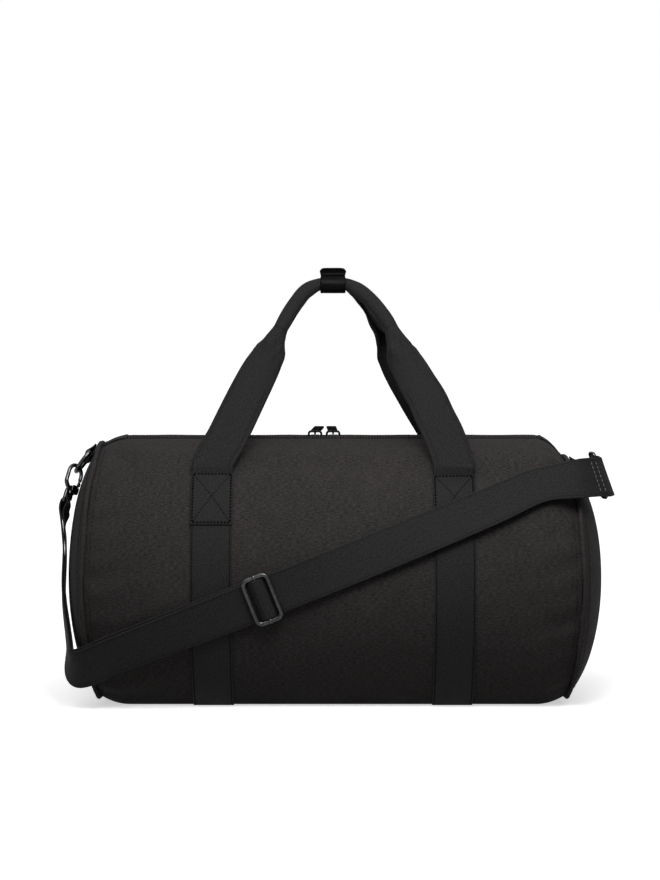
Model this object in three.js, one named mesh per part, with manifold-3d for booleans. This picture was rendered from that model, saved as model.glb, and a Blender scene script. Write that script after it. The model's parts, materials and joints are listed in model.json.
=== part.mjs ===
// Barrel duffel bag with two webbing carry handles, a leather handle wrap and a clip-on shoulder strap.
// Millimetres. +X runs along the bag to its right end, -Y is its front and +Z is up.
// The origin is on the underside of the base panel, at its middle.
import * as THREE from "three";
import { LoftGeometry } from "three/addons/geometries/LoftGeometry.js";
import { mergeVertices } from "three/addons/utils/BufferGeometryUtils.js";
import Module from "manifold-3d";

const manifold = await Module();
manifold.setup();

// ---------------------------------------------------------------- driving dimensions
const GAP = 0.3; // between pieces that touch

// Bag shell
const BODY_HEIGHT = 250;
const BODY_DEPTH = 250;
const BASE_WIDTH = 125; // flat part of the section, which stands on the ground
const SEAM_LENGTH = 458; // between the end seams, half-way up the front
const SEAM_PULL_TOP = 9; // how much nearer the middle each end seam lies at the top
const SEAM_PULL_BASE = 13; // and at the base
const END_TAPER = 28; // length over which the section closes towards an end seam
const END_DROP = { left: 9, right: 22 }; // of the top edge at each end seam
const END_LIFT = 9; // of the base at the end seams
const END_TUCK = 6; // of the front and back at the end seams
const END_BULGE = { left: 24, right: 28 }; // of each end panel beyond its seam
const CANVAS = 3; // wall: outer canvas with its backing
const PIPING_RADIUS = 2.2;
const PIPING_GAP = 0.6;
const LINING = 1.2;
const LINING_SLOT = 40;
const BOARD_THICKNESS = 2.5;
const BOARD_LENGTH = 380;
const BOARD_WIDTH = 112;

// Zip
const ZIP_LENGTH = 408;
const GUSSET_HALF_WIDTH = 32;
const GUSSET_MOUTH = 8; // from the zip's centre line to a gusset's folded edge
const GUSSET_THICKNESS = 1.6;
const TAPE_THICKNESS = 1.2;
const TAPE_REACH = 17;
const COIL_WIDTH = 3.2;
const COIL_THICKNESS = 2.6;
const COIL_PARTING = 1.8; // kept between the two coils for the sliders' posts
const ZIP_MEETING_X = -8.5;
const SLIDER_LENGTH = 17;
const SLIDER_WIDTH = 12;
const SLIDER_PLATE = 1.5;
const SLIDER_POST = 1.2;
const BAIL_RADIUS = 1.1;
const BAIL_SPAN = 12;
const BAIL_HEIGHT = 3.6;
const PULL_WIDTH = 9.4;
const PULL_LENGTH = 25;
const PULL_THICKNESS = 2;
const PULL_EYE_RADIUS = 2.3;
const PULL_WIRE_RADIUS = 0.8;
const PULL_RISE = 6; // degrees above level, lying back
const TAB_LENGTH = 14;
const TAB_WIDTH = 40;
const TAB_THICKNESS = 1.6;

// Webbing, handles and wrap
const WEB_WIDTH = 38;
const WEB_THICKNESS = 1.6;
const WEB_SPACING = 224;
const ANCHOR_WIDTH = 39;
const ANCHOR_LENGTH = 54;
const ANCHOR_TOP = 39.8; // degrees from the top of the section
const HANDLE_THICKNESS = 1.7;
const HANDLE_HEIGHT = 394.5; // of the grips' centre line above the ground
const GRIP_HEIGHT = 12;
const GRIP_DEPTH = 10;
const GRIP_OFFSET = 5.6; // of each grip's centre line from the bag's middle plane
const WRAP_LENGTH = 24;
const LEATHER = 1.5;
const WRAP_SLACK = 0.8;
const FIN_HEIGHT = 8;
const STUD_RADIUS = 3;

// Rings, hooks and shoulder strap
const RING_WIRE = 2;
const RING_HALF_WIDTH = 14;
const RING_SIDE = 5;
const RING_BELOW_SEAM = 13;
const RING_CLEARANCE = 10; // from the end panel to the ring wire that carries the hook
const RING_TAB_WIDTH = 22;
const RING_TAB_LENGTH = 11;
const STRAP_WIDTH = 38;
const STRAP_THICKNESS = 1.6;
const STRAP_LAYER = 2.1; // from one layer of a doubled strap to the next
const STRAP_SLOPE = 0.394; // rise for each millimetre along the front
const STRAP_MID_HEIGHT = 134; // where the strap crosses the middle of the front
const STRAP_SEWN_TAIL = 33;
const STRAP_END_LIFT = 4; // of the doubled strap's middle from the left end panel
const LOOP_WIRE = 1.75;
const LOOP_OPENING = 8;
const LOOP_CORNER = 2.4;
const HOOK_ROD = 1.9;
const HOOK_BOW_RADIUS = 8.5;
const HOOK_LENGTH = 45; // from the strap loop's bar to the top of the bow
const HOOK_LEAN = 13; // degrees outwards, of a hook's pull
const HOOK_SLACK = 0.9; // between a bow and its ring's wire
const HOOK_TURN = { left: 42, right: -42 }; // degrees, of a hook's plane from square to its ring's wire
const ADJUSTER_RIDE = 0.9; // above the webbing, so that it can slide over the strap's bow
const ADJUSTER_X = -63.5;
const ADJUSTER_LENGTH = 27;
const ADJUSTER_WIRE = 1.7;
const ADJUSTER_CORNER = 3;

// ---------------------------------------------------------------- finishes
const FINISHES = {
  canvas: { color: 0x1d1a1d, roughness: 0.95, metalness: 0 },
  webbing: { color: 0x1a1c1c, roughness: 0.9, metalness: 0 },
  lining: { color: 0x2a2a2d, roughness: 0.85, metalness: 0 },
  board: { color: 0x3a3834, roughness: 0.9, metalness: 0 },
  leather: { color: 0x141415, roughness: 0.5, metalness: 0 },
  nylon: { color: 0x121314, roughness: 0.55, metalness: 0 },
  gunmetal: { color: 0x33373a, roughness: 0.28, metalness: 1 },
};
const bag = new THREE.Group();

function addPiece(name, geometry, finish, parent = bag) {
  const mesh = new THREE.Mesh(geometry, new THREE.MeshStandardMaterial(FINISHES[finish]));
  mesh.name = name;
  parent.add(mesh);
  return mesh;
}

// ---------------------------------------------------------------- general shapes
const vec = (x, y, z) => new THREE.Vector3(x, y, z);
const degrees = THREE.MathUtils.degToRad;
const { clamp, lerp, smoothstep } = THREE.MathUtils;

// Skins closed rings of points. A ring path that closes on itself repeats its first ring and has no caps.
function loft(rings, closed = false) {
  if (closed) return facingOut(new LoftGeometry([...rings, rings[0]]));
  const travel = middleOf(rings[1]).sub(middleOf(rings[0]));
  const sections = ringNormal(rings[0]).dot(travel) < 0 ? rings.map((ring) => [...ring].reverse()) : rings;
  return new LoftGeometry(sections, { capStart: true, capEnd: true });
}

const middleOf = (ring) => ring.reduce((sum, p) => sum.add(p), vec()).divideScalar(ring.length);

function ringNormal(ring) {
  return ring.reduce((sum, p, i) => sum.add(p.clone().cross(ring[(i + 1) % ring.length])), vec());
}

// Turns a closed geometry's faces outwards, whichever way its rings ran.
function facingOut(geometry) {
  const at = geometry.getAttribute("position");
  const index = geometry.index.array;
  const [a, b, c] = [vec(), vec(), vec()];
  let volume = 0;
  for (let i = 0; i < index.length; i += 3) {
    a.fromBufferAttribute(at, index[i]);
    b.fromBufferAttribute(at, index[i + 1]);
    c.fromBufferAttribute(at, index[i + 2]);
    volume += a.dot(b.cross(c));
  }
  if (volume < 0) geometry.setIndex([...index].reverse());
  return geometry;
}

// Sweeps a section along a path. up(i) is the section's second axis, and outline(i) gives [across, up] pairs.
function sweep(path, outline, up, closed = false) {
  const last = path.length - 1;
  const rings = path.map((point, i) => {
    const before = path[i > 0 ? i - 1 : closed ? last : 0];
    const after = path[i < last ? i + 1 : closed ? 0 : last];
    const along = after.clone().sub(before).normalize();
    const across = along.clone().cross(up(i)).normalize();
    const raised = across.clone().cross(along);
    return outline(i).map(([a, u]) => point.clone().addScaledVector(across, a).addScaledVector(raised, u));
  });
  return loft(rings, closed);
}

function circle(radius, sides) {
  return Array.from({ length: sides }, (_, i) => {
    const turn = (2 * Math.PI * i) / sides;
    return [radius * Math.cos(turn), radius * Math.sin(turn)];
  });
}

function rectangle(width, height) {
  const [w, h] = [width / 2, height / 2];
  return [[w, -h], [w, h], [-w, h], [-w, -h]];
}

// A round wire along points that lie in a plane, given by its normal.
function wire(points, radius, normal, closed = false, sides = 10) {
  const section = circle(radius, sides);
  return sweep(points, () => section, () => normal, closed);
}

// Points along a flat outline: first coordinate along x, second along y.
function outlinePoints(path, count) {
  return path.getSpacedPoints(count).slice(0, -1).map((p) => vec(p.x, p.y, 0));
}

function roundedRectangle(width, height, corner) {
  const [w, h] = [width / 2 - corner, height / 2 - corner];
  const path = new THREE.Path();
  path.absarc(w, h, corner, 0, Math.PI / 2);
  path.absarc(-w, h, corner, Math.PI / 2, Math.PI);
  path.absarc(-w, -h, corner, Math.PI, 1.5 * Math.PI);
  path.absarc(w, -h, corner, 1.5 * Math.PI, 2 * Math.PI);
  path.closePath();
  return path;
}

function block(width, depth, height, x = 0, y = 0, z = 0) {
  return new THREE.BoxGeometry(width, depth, height).translate(x, y, z);
}

function cylinder(radius, from, to, sides = 20) {
  return new THREE.CylinderGeometry(radius, radius, to - from, sides).translate(0, (from + to) / 2, 0);
}

function toSolid(geometry) {
  const bare = new THREE.BufferGeometry();
  bare.setAttribute("position", geometry.getAttribute("position"));
  if (geometry.index) bare.setIndex(geometry.index);
  const merged = mergeVertices(bare, 1e-4);
  const vertProperties = new Float32Array(merged.getAttribute("position").array);
  const triVerts = new Uint32Array(merged.index.array);
  return new manifold.Manifold(new manifold.Mesh({ numProp: 3, vertProperties, triVerts }));
}

function toGeometry(solid) {
  const mesh = solid.getMesh();
  const geometry = new THREE.BufferGeometry();
  geometry.setAttribute("position", new THREE.BufferAttribute(mesh.vertProperties, 3));
  geometry.setIndex(new THREE.BufferAttribute(mesh.triVerts, 1));
  geometry.computeVertexNormals();
  return geometry;
}

const join = (...parts) => toGeometry(parts.map(toSolid).reduce((whole, part) => whole.add(part)));
const cut = (from, ...tools) => (
  toGeometry(tools.map(toSolid).reduce((rest, tool) => rest.subtract(tool), toSolid(from)))
);

// ---------------------------------------------------------------- the bag's shape
// The section is an ellipse cut off level by the ground. An angle on it counts from the top towards
// the front; past BASE_ANGLE it runs along the flat base, and negative angles are the back.
const HALF_DEPTH = BODY_DEPTH / 2;
const BASE_ANGLE = Math.PI - Math.asin(BASE_WIDTH / BODY_DEPTH);
const RISE = BODY_HEIGHT / (1 - Math.cos(BASE_ANGLE));
const CENTRE_Z = BODY_HEIGHT - RISE;
const BASE_CORNER_BLEND = 6;
const MIDDLE_STATION = 90;

function wrapped(angle) {
  const within = angle > Math.PI ? angle - 2 * Math.PI : angle;
  return { size: Math.abs(within), side: within < 0 ? 1 : -1 };
}

function sectionPoint(angle) {
  const { size, side } = wrapped(angle);
  if (size <= BASE_ANGLE) return { y: side * HALF_DEPTH * Math.sin(size), z: CENTRE_Z + RISE * Math.cos(size) };
  return { y: (side * BASE_WIDTH * (Math.PI - size)) / (Math.PI - BASE_ANGLE) / 2, z: 0 };
}

function sectionNormal(angle) {
  const { size, side } = wrapped(angle);
  const corner = Math.min(size, BASE_ANGLE);
  const round = vec(0, (side * Math.sin(corner)) / HALF_DEPTH, Math.cos(corner) / RISE).normalize();
  if (size <= BASE_ANGLE) return round;
  const inward = BASE_WIDTH / 2 - Math.abs(sectionPoint(angle).y);
  return round.lerp(vec(0, 0, -1), Math.min(1, inward / BASE_CORNER_BLEND)).normalize();
}

const arcAngle = (arc) => arc / HALF_DEPTH;

// How far each end seam is from the middle, at an angle.
function seamX(angle) {
  const level = Math.cos(angle);
  return SEAM_LENGTH / 2 - (level > 0 ? SEAM_PULL_TOP : SEAM_PULL_BASE) * level * level;
}

// How much the section has closed at a place along the bag, as a share of its size.
function closing(x, angle) {
  const side = x < 0 ? "left" : "right";
  const level = Math.cos(angle);
  const along = clamp((Math.abs(x) - seamX(angle) + END_TAPER) / END_TAPER, 0, 1);
  const upright = level > 0 ? END_DROP[side] / RISE : END_LIFT / CENTRE_Z;
  return 1 - along * along * lerp(END_TUCK / HALF_DEPTH, upright, level * level);
}

function shellPoint(x, angle, lift) {
  const { y, z } = sectionPoint(angle);
  const scale = closing(x, angle);
  return vec(x, y * scale, CENTRE_Z + (z - CENTRE_Z) * scale).addScaledVector(sectionNormal(angle), lift);
}

// Places along the bag for a sheet's rows: close together where the section closes, and its own two ends.
function stationsBetween(from, to, angle) {
  const taper = [0, 0.25, 0.5, 0.75].map((share) => seamX(angle) - END_TAPER + share * END_TAPER);
  const half = [MIDDLE_STATION, ...taper];
  const inside = [...half.map((x) => -x).reverse(), 0, ...half].filter((x) => x > from + 1 && x < to - 1);
  return [from, ...inside, to];
}

// A sheet that follows the shell between two places along it, two angles and two heights off its surface.
function shellSheet({ from, to, start, end, under, over, steps }) {
  const place = (edge, angle) => (typeof edge === "function" ? edge(angle) : edge);
  const rings = Array.from({ length: steps + 1 }, (_, j) => {
    const angle = lerp(start, end, j / steps);
    const stations = stationsBetween(place(from, angle), place(to, angle), angle);
    const outer = stations.map((x) => shellPoint(x, angle, over));
    const inner = stations.map((x) => shellPoint(x, angle, under)).reverse();
    return [...outer, ...inner];
  });
  return loft(rings);
}

// How far along X the end panel's outer face lies, over a place in the section.
function endPanelX(side, y, z) {
  const sign = side === "left" ? -1 : 1;
  const angle = Math.atan2(-y / HALF_DEPTH, (z - CENTRE_Z) / RISE);
  const edge = closing(sign * SEAM_LENGTH, angle);
  const round = Math.hypot(y / HALF_DEPTH, (z - CENTRE_Z) / RISE) / edge;
  const flat = (CENTRE_Z - z) / (CENTRE_Z * edge);
  return sign * endPanelReach(side, angle, Math.max(round, flat));
}

function endPanelReach(side, angle, share) {
  const middle = SEAM_LENGTH / 2 - (SEAM_PULL_TOP + SEAM_PULL_BASE) / 4;
  const rim = lerp(middle, seamX(angle), Math.min(1, share * share));
  return rim + GAP + CANVAS + END_BULGE[side] * (1 - Math.min(1, share ** 3));
}

function endPanelNormal(side, y, z) {
  const step = 2;
  const slopeY = (endPanelX(side, y + step, z) - endPanelX(side, y - step, z)) / (2 * step);
  const slopeZ = (endPanelX(side, y, z + step) - endPanelX(side, y, z - step)) / (2 * step);
  return vec(1, -slopeY, -slopeZ).normalize().multiplyScalar(side === "left" ? -1 : 1);
}

function offEndPanel(side, y, z, lift) {
  return vec(endPanelX(side, y, z), y, z).addScaledVector(endPanelNormal(side, y, z), lift);
}

// ---------------------------------------------------------------- panels, piping, lining and board
const SIDES = ["left", "right"];
const sideSign = { left: -1, right: 1 };
const FACES = ["front", "back"];
const faceSign = { front: 1, back: -1 };

function addSidePanels() {
  const edgeGap = GAP / 2 / HALF_DEPTH;
  for (const face of FACES) {
    const sign = faceSign[face];
    addPiece(`${face}_panel`, shellSheet({
      from: (angle) => -seamX(angle),
      to: (angle) => seamX(angle),
      start: sign * (arcAngle(GUSSET_HALF_WIDTH) + edgeGap),
      end: sign * (BASE_ANGLE - edgeGap),
      under: -CANVAS,
      over: 0,
      steps: 16,
    }), "canvas");
  }
  addPiece("base_panel", shellSheet({
    from: (angle) => -seamX(angle),
    to: (angle) => seamX(angle),
    start: BASE_ANGLE + edgeGap,
    end: 2 * Math.PI - BASE_ANGLE - edgeGap,
    under: -CANVAS,
    over: 0,
    steps: 8,
  }), "canvas");
}

function seamRing(side, share, inset, steps) {
  return Array.from({ length: steps }, (_, i) => {
    const angle = -Math.PI + (2 * Math.PI * i) / steps;
    const sign = sideSign[side];
    const rim = shellPoint(sign * SEAM_LENGTH, angle, 0);
    const centre = vec(0, 0, CENTRE_Z);
    const point = centre.lerp(vec(0, rim.y, rim.z), share);
    return point.setX(sign * (endPanelReach(side, angle, share) - inset));
  });
}

const END_STEPS = 36;
const END_RINGS = [0.05, 0.25, 0.45, 0.62, 0.77, 0.9, 1]; // shares of the way from the middle to the seam

function addEndPanels() {
  const shares = END_RINGS;
  for (const side of SIDES) {
    const outer = shares.map((share) => seamRing(side, share, 0, END_STEPS));
    const inner = shares.map((share) => seamRing(side, share, CANVAS, END_STEPS)).reverse();
    // The pole keeps the inner face's middle closed inwards.
    const pole = seamRing(side, shares[0] / 2, CANVAS + GAP, END_STEPS);
    addPiece(`${side}_end_panel`, loft([...outer, ...inner, pole]), "canvas");
  }
}

function addPiping() {
  for (const side of SIDES) {
    const lift = PIPING_RADIUS + PIPING_GAP;
    const ring = Array.from({ length: END_STEPS }, (_, i) => {
      const angle = -Math.PI + (2 * Math.PI * i) / END_STEPS;
      const point = shellPoint(sideSign[side] * SEAM_LENGTH, angle, lift);
      return point.setX(sideSign[side] * (seamX(angle) + GAP + CANVAS / 2));
    });
    addPiece(`${side}_end_piping`, wire(ring, PIPING_RADIUS, vec(1, 0, 0), true, 6), "canvas");
  }
}

function liningBlock(inset, length) {
  const steps = 28;
  const taper = [0, 0.25, 0.5, 0.75, 1].map((share) => length - share * END_TAPER);
  const places = [...taper.map((x) => -x), ...taper.reverse()];
  return loft(places.map((x) => Array.from({ length: steps }, (_, i) => (
    shellPoint(x, -Math.PI + (2 * Math.PI * i) / steps, -inset)
  ))));
}

function addLiningAndBoard() {
  const inset = CANVAS + GAP + BOARD_THICKNESS + GAP;
  const length = SEAM_LENGTH / 2 - SEAM_PULL_BASE - CANVAS;
  const slot = block(ZIP_LENGTH, LINING_SLOT, BODY_HEIGHT, 0, 0, BODY_HEIGHT);
  const bagLining = cut(liningBlock(inset, length), liningBlock(inset + LINING, length - LINING), slot);
  addPiece("lining", bagLining, "lining");
  const boardZ = CANVAS + GAP + BOARD_THICKNESS / 2;
  addPiece("base_board", block(BOARD_LENGTH, BOARD_WIDTH, BOARD_THICKNESS, 0, 0, boardZ), "board");
}

// ---------------------------------------------------------------- zip
const TAPE_TOP = -GUSSET_THICKNESS - 2 * GAP;
const COIL_MIDDLE = TAPE_TOP - TAPE_THICKNESS / 2;
const COIL_INNER = COIL_PARTING / 2;
const COIL_OUTER = COIL_INNER + COIL_WIDTH;

function addZipStrips() {
  const edgeGap = GAP / 2 / HALF_DEPTH;
  for (const face of FACES) {
    const sign = faceSign[face];
    const strip = (name, inner, outer, under, over, length, finish, steps) => addPiece(name, shellSheet({
      from: -length / 2,
      to: length / 2,
      start: sign * arcAngle(inner),
      end: sign * arcAngle(outer),
      under,
      over,
      steps,
    }), finish);
    addPiece(`${face}_zip_gusset`, shellSheet({
      from: (angle) => -seamX(angle),
      to: (angle) => seamX(angle),
      start: sign * arcAngle(GUSSET_MOUTH),
      end: sign * (arcAngle(GUSSET_HALF_WIDTH) - edgeGap),
      under: -GUSSET_THICKNESS,
      over: 0,
      steps: 3,
    }), "canvas");
    const tapeUnder = TAPE_TOP - TAPE_THICKNESS;
    strip(`${face}_zip_tape`, COIL_OUTER + GAP, TAPE_REACH, tapeUnder, TAPE_TOP, ZIP_LENGTH, "nylon", 2);
    const [low, high] = [COIL_MIDDLE - COIL_THICKNESS / 2, COIL_MIDDLE + COIL_THICKNESS / 2];
    strip(`${face}_zip_coil`, COIL_INNER, COIL_OUTER, low, high, ZIP_LENGTH, "nylon", 1);
  }
  for (const side of SIDES) {
    const sign = sideSign[side];
    const middle = (sign * ZIP_LENGTH) / 2;
    addPiece(`${side}_zip_end_tab`, shellSheet({
      from: middle - TAB_LENGTH / 2,
      to: middle + TAB_LENGTH / 2,
      start: -arcAngle(TAB_WIDTH / 2),
      end: arcAngle(TAB_WIDTH / 2),
      under: GAP,
      over: GAP + TAB_THICKNESS,
      steps: 6,
    }), "canvas");
  }
}

// A slider has a plate above the coils and one below, on a post between them, and a bail for its pull.
function sliderGeometry() {
  const topUnder = COIL_MIDDLE + COIL_THICKNESS / 2 + GAP;
  const bottomOver = COIL_MIDDLE - COIL_THICKNESS / 2 - GAP;
  const plateTop = topUnder + SLIDER_PLATE;
  const height = plateTop - bottomOver + SLIDER_PLATE;
  const outline = outlinePoints(roundedRectangle(SLIDER_LENGTH, SLIDER_WIDTH, 3), 24);
  const plate = (z) => loft([0, SLIDER_PLATE].map((rise) => outline.map((p) => p.clone().setZ(z + rise))));
  const post = block(5, SLIDER_POST, height - SLIDER_PLATE, 0, 0, (plateTop + bottomOver - SLIDER_PLATE) / 2);
  const half = BAIL_SPAN / 2;
  const corner = 2;
  const arch = new THREE.Path();
  arch.moveTo(half, -SLIDER_PLATE / 2);
  arch.absarc(half - corner, BAIL_HEIGHT - corner, corner, 0, Math.PI / 2);
  arch.absarc(-half + corner, BAIL_HEIGHT - corner, corner, Math.PI / 2, Math.PI);
  arch.lineTo(-half, -SLIDER_PLATE / 2);
  const bow = arch.getSpacedPoints(18).map((p) => vec(p.x, 0, p.y + plateTop));
  const bail = wire(bow, BAIL_RADIUS, vec(0, 1, 0), false, 8);
  return { geometry: join(plate(topUnder), plate(bottomOver - SLIDER_PLATE), post, bail), bailZ: plateTop + BAIL_HEIGHT };
}

// A pull hangs on its slider's bail by a wire eye. It points along +Y.
function pullGeometry() {
  const eye = circle(PULL_EYE_RADIUS, 20).map(([y, z]) => vec(0, y, z));
  const start = PULL_EYE_RADIUS - 0.4;
  const plate = block(PULL_WIDTH, PULL_LENGTH, PULL_THICKNESS, 0, start + PULL_LENGTH / 2, 0);
  const clearance = circle(PULL_EYE_RADIUS - PULL_WIRE_RADIUS, 20);
  const bore = loft([-PULL_WIDTH, PULL_WIDTH].map((x) => clearance.map(([y, z]) => vec(x, y, z))));
  return cut(join(wire(eye, PULL_WIRE_RADIUS, vec(1, 0, 0), true, 8), plate), bore);
}

function addSliders() {
  const { geometry, bailZ } = sliderGeometry();
  const pull = pullGeometry();
  for (const side of SIDES) {
    const assembly = new THREE.Group();
    const x = ZIP_MEETING_X + sideSign[side] * (SLIDER_LENGTH + GAP) / 2;
    assembly.position.set(x, 0, BODY_HEIGHT);
    bag.add(assembly);
    addPiece(`${side}_slider`, geometry, "gunmetal", assembly);
    const mesh = addPiece(`${side}_pull`, pull, "gunmetal", assembly);
    mesh.position.z = bailZ;
    mesh.rotation.x = degrees(PULL_RISE);
  }
}

// ---------------------------------------------------------------- body webs and handle anchors
const WEB_OVER = GAP + WEB_THICKNESS;
const ANCHOR_UNDER = WEB_OVER + GAP;
const ANCHOR_OVER = ANCHOR_UNDER + WEB_THICKNESS;
const ANCHOR_TOP_ANGLE = degrees(ANCHOR_TOP);

function addWebs() {
  for (const face of FACES) {
    const sign = faceSign[face];
    for (const side of SIDES) {
      const x = (sideSign[side] * WEB_SPACING) / 2;
      addPiece(`${face}_${side}_web`, shellSheet({
        from: x - WEB_WIDTH / 2,
        to: x + WEB_WIDTH / 2,
        start: sign * ANCHOR_TOP_ANGLE,
        end: sign * (BASE_ANGLE - arcAngle(WEB_OVER)),
        under: GAP,
        over: WEB_OVER,
        steps: 16,
      }), "webbing");
      addPiece(`${face}_${side}_handle_anchor`, shellSheet({
        from: x - ANCHOR_WIDTH / 2,
        to: x + ANCHOR_WIDTH / 2,
        start: sign * ANCHOR_TOP_ANGLE,
        end: sign * (ANCHOR_TOP_ANGLE + arcAngle(ANCHOR_LENGTH)),
        under: ANCHOR_UNDER,
        over: ANCHOR_OVER,
        steps: 6,
      }), "webbing");
    }
  }
}

// ---------------------------------------------------------------- handles
// Each handle is one length of webbing, flat where it is sewn down and rolled round at the grip. It lies in
// a plane that leans from its anchors' top edges to the grip. The shape is half of it: [across, up] as
// shares of the half-spacing and of the handle's length up that plane.
const HANDLE_SHAPE = [
  [1, 0], [1, 0.04], [0.93, 0.18], [0.74, 0.4], [0.56, 0.6], [0.44, 0.74], [0.33, 0.86], [0.21, 0.965], [0.12, 1],
];
const HANDLE_STATIONS = 48;
const ROLL_FROM = 0.5;
const ROLL_TO = 0.76;
const LEG_TOP = 0.74;

function handleHinge(face) {
  return shellPoint(0, faceSign[face] * ANCHOR_TOP_ANGLE, ANCHOR_OVER + GAP + HANDLE_THICKNESS / 2);
}

function handlePath(face) {
  const hinge = handleHinge(face);
  const grip = vec(0, -faceSign[face] * GRIP_OFFSET, HANDLE_HEIGHT);
  const rise = grip.clone().sub(hinge);
  const at = (across, up) => hinge.clone().addScaledVector(rise, up).setX((across * WEB_SPACING) / 2);
  const left = HANDLE_SHAPE.map(([across, up]) => at(-across, up));
  const right = HANDLE_SHAPE.map(([across, up]) => at(across, up)).reverse();
  const curve = new THREE.CatmullRomCurve3([...left, at(0, 1), ...right], false, "centripetal");
  const lean = vec(1, 0, 0).cross(rise).normalize();
  return { points: curve.getSpacedPoints(HANDLE_STATIONS), hinge, rise, lean };
}

function addHandle(face) {
  const { points, hinge, rise, lean } = handlePath(face);
  const shares = points.map((p) => p.clone().sub(hinge).dot(rise) / rise.lengthSq());
  const outline = (i) => {
    const roll = smoothstep(shares[i], ROLL_FROM, ROLL_TO);
    const width = lerp(WEB_WIDTH, GRIP_HEIGHT, roll);
    const depth = lerp(HANDLE_THICKNESS, GRIP_DEPTH, roll);
    const squareness = lerp(0.35, 0.9, roll);
    return circle(1, 12).map(([a, u]) => [
      (Math.sign(a) * Math.abs(a) ** squareness * width) / 2,
      (Math.sign(u) * Math.abs(u) ** squareness * depth) / 2,
    ]);
  };
  const split = shares.findIndex((share) => share >= LEG_TOP);
  const stretch = (name, from, to) => {
    const path = points.slice(from, to + 1).map((p) => p.clone());
    if (from > 0) path[0].lerp(path[1], GAP / 2 / path[0].distanceTo(path[1]));
    if (to < HANDLE_STATIONS) path.at(-1).lerp(path.at(-2), GAP / 2 / path.at(-1).distanceTo(path.at(-2)));
    addPiece(name, sweep(path, (i) => outline(from + i), () => lean), "webbing");
  };
  stretch(`${face}_handle_left_leg`, 0, split);
  stretch(`${face}_handle_grip`, split, HANDLE_STATIONS - split);
  stretch(`${face}_handle_right_leg`, HANDLE_STATIONS - split, HANDLE_STATIONS);
}

// ---------------------------------------------------------------- handle wrap
// A leather strip goes round both grips and its two ends stand up as a fin. It is cut in two at its lowest
// line, where the flap folds open.
function wrapHalf(sign) {
  const across = GRIP_OFFSET + GRIP_DEPTH / 2 + WRAP_SLACK + LEATHER / 2;
  const up = GRIP_HEIGHT / 2 + WRAP_SLACK + LEATHER / 2;
  const bend = up * 0.8;
  const finY = 1.2 + LEATHER / 2;
  const path = new THREE.Path();
  path.moveTo(GAP / 2, -up);
  path.lineTo(across - bend, -up);
  path.absellipse(across - bend, 0, bend, up, -Math.PI / 2, Math.PI / 2);
  path.quadraticCurveTo(finY + 1, up, finY, up + FIN_HEIGHT * 0.35);
  path.quadraticCurveTo(finY, up + FIN_HEIGHT * 0.7, finY + 1.6, up + FIN_HEIGHT);
  const line = path.getSpacedPoints(26).map((p) => vec(0, sign * p.x, HANDLE_HEIGHT + p.y));
  const section = rectangle(WRAP_LENGTH, LEATHER);
  return sweep(line, () => section, (i) => {
    const tangent = line[Math.min(i + 1, line.length - 1)].clone().sub(line[Math.max(i - 1, 0)]);
    return tangent.cross(vec(1, 0, 0));
  });
}

function addWrap() {
  addPiece("wrap_front", wrapHalf(-1), "leather");
  addPiece("wrap_flap", wrapHalf(1), "leather");
  const studZ = HANDLE_HEIGHT + GRIP_HEIGHT / 2 + GAP + LEATHER + FIN_HEIGHT * 0.42;
  const stud = new THREE.LatheGeometry([[0, -0.9], [1.6, -0.9], [1.6, -0.1], [0.9, 0.1], [0.9, 0.7], [0, 0.7]]
    .map(([r, y]) => new THREE.Vector2(r, y)), 16);
  const socket = new THREE.LatheGeometry([[1.9, -0.5], [STUD_RADIUS, -0.5], [STUD_RADIUS, 0.3], [1.9, 0.3], [1.9, -0.5]]
    .map(([r, y]) => new THREE.Vector2(r, y)), 16);
  addPiece("wrap_stud", facingOut(stud), "gunmetal").position.set(0, 0, studZ);
  addPiece("wrap_socket", facingOut(socket), "gunmetal").position.set(0, 0.6, studZ);
}

// ---------------------------------------------------------------- rings on the end panels
// A frame has an origin, a direction along, one that faces away from the bag and one across both.
function frameOf(origin, along, facing) {
  const y = along.clone().normalize();
  const z = facing.clone().addScaledVector(y, -facing.dot(y)).normalize();
  return { origin, across: y.clone().cross(z), along: y, facing: z };
}

const inFrame = (frame, x, y, z) => frame.origin.clone()
  .addScaledVector(frame.across, x)
  .addScaledVector(frame.along, y)
  .addScaledVector(frame.facing, z);

function frameGroup(frame, parent = bag) {
  const group = new THREE.Group();
  const basis = new THREE.Matrix4().makeBasis(frame.across, frame.along, frame.facing);
  group.quaternion.setFromRotationMatrix(basis);
  group.position.copy(frame.origin);
  parent.add(group);
  return group;
}

// A ring hangs from its bar at an angle towards the front. Its hook pulls at a further angle round it.
const RING_HANG = { left: 28, right: 50 };
const RING_PULL = { left: 28, right: 90 };
const RING_BAR_LIFT = 4.6;

function ringFrame(side) {
  const hang = degrees(RING_HANG[side]);
  const barZ = BODY_HEIGHT - END_DROP[side] - RING_BELOW_SEAM;
  const reach = RING_SIDE + RING_HALF_WIDTH;
  const bar = offEndPanel(side, 0, barZ, RING_BAR_LIFT);
  const foot = offEndPanel(side, -reach * Math.sin(hang), barZ - reach * Math.cos(hang), RING_CLEARANCE);
  return frameOf(bar, foot.sub(bar), endPanelNormal(side, 0, barZ));
}

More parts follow.
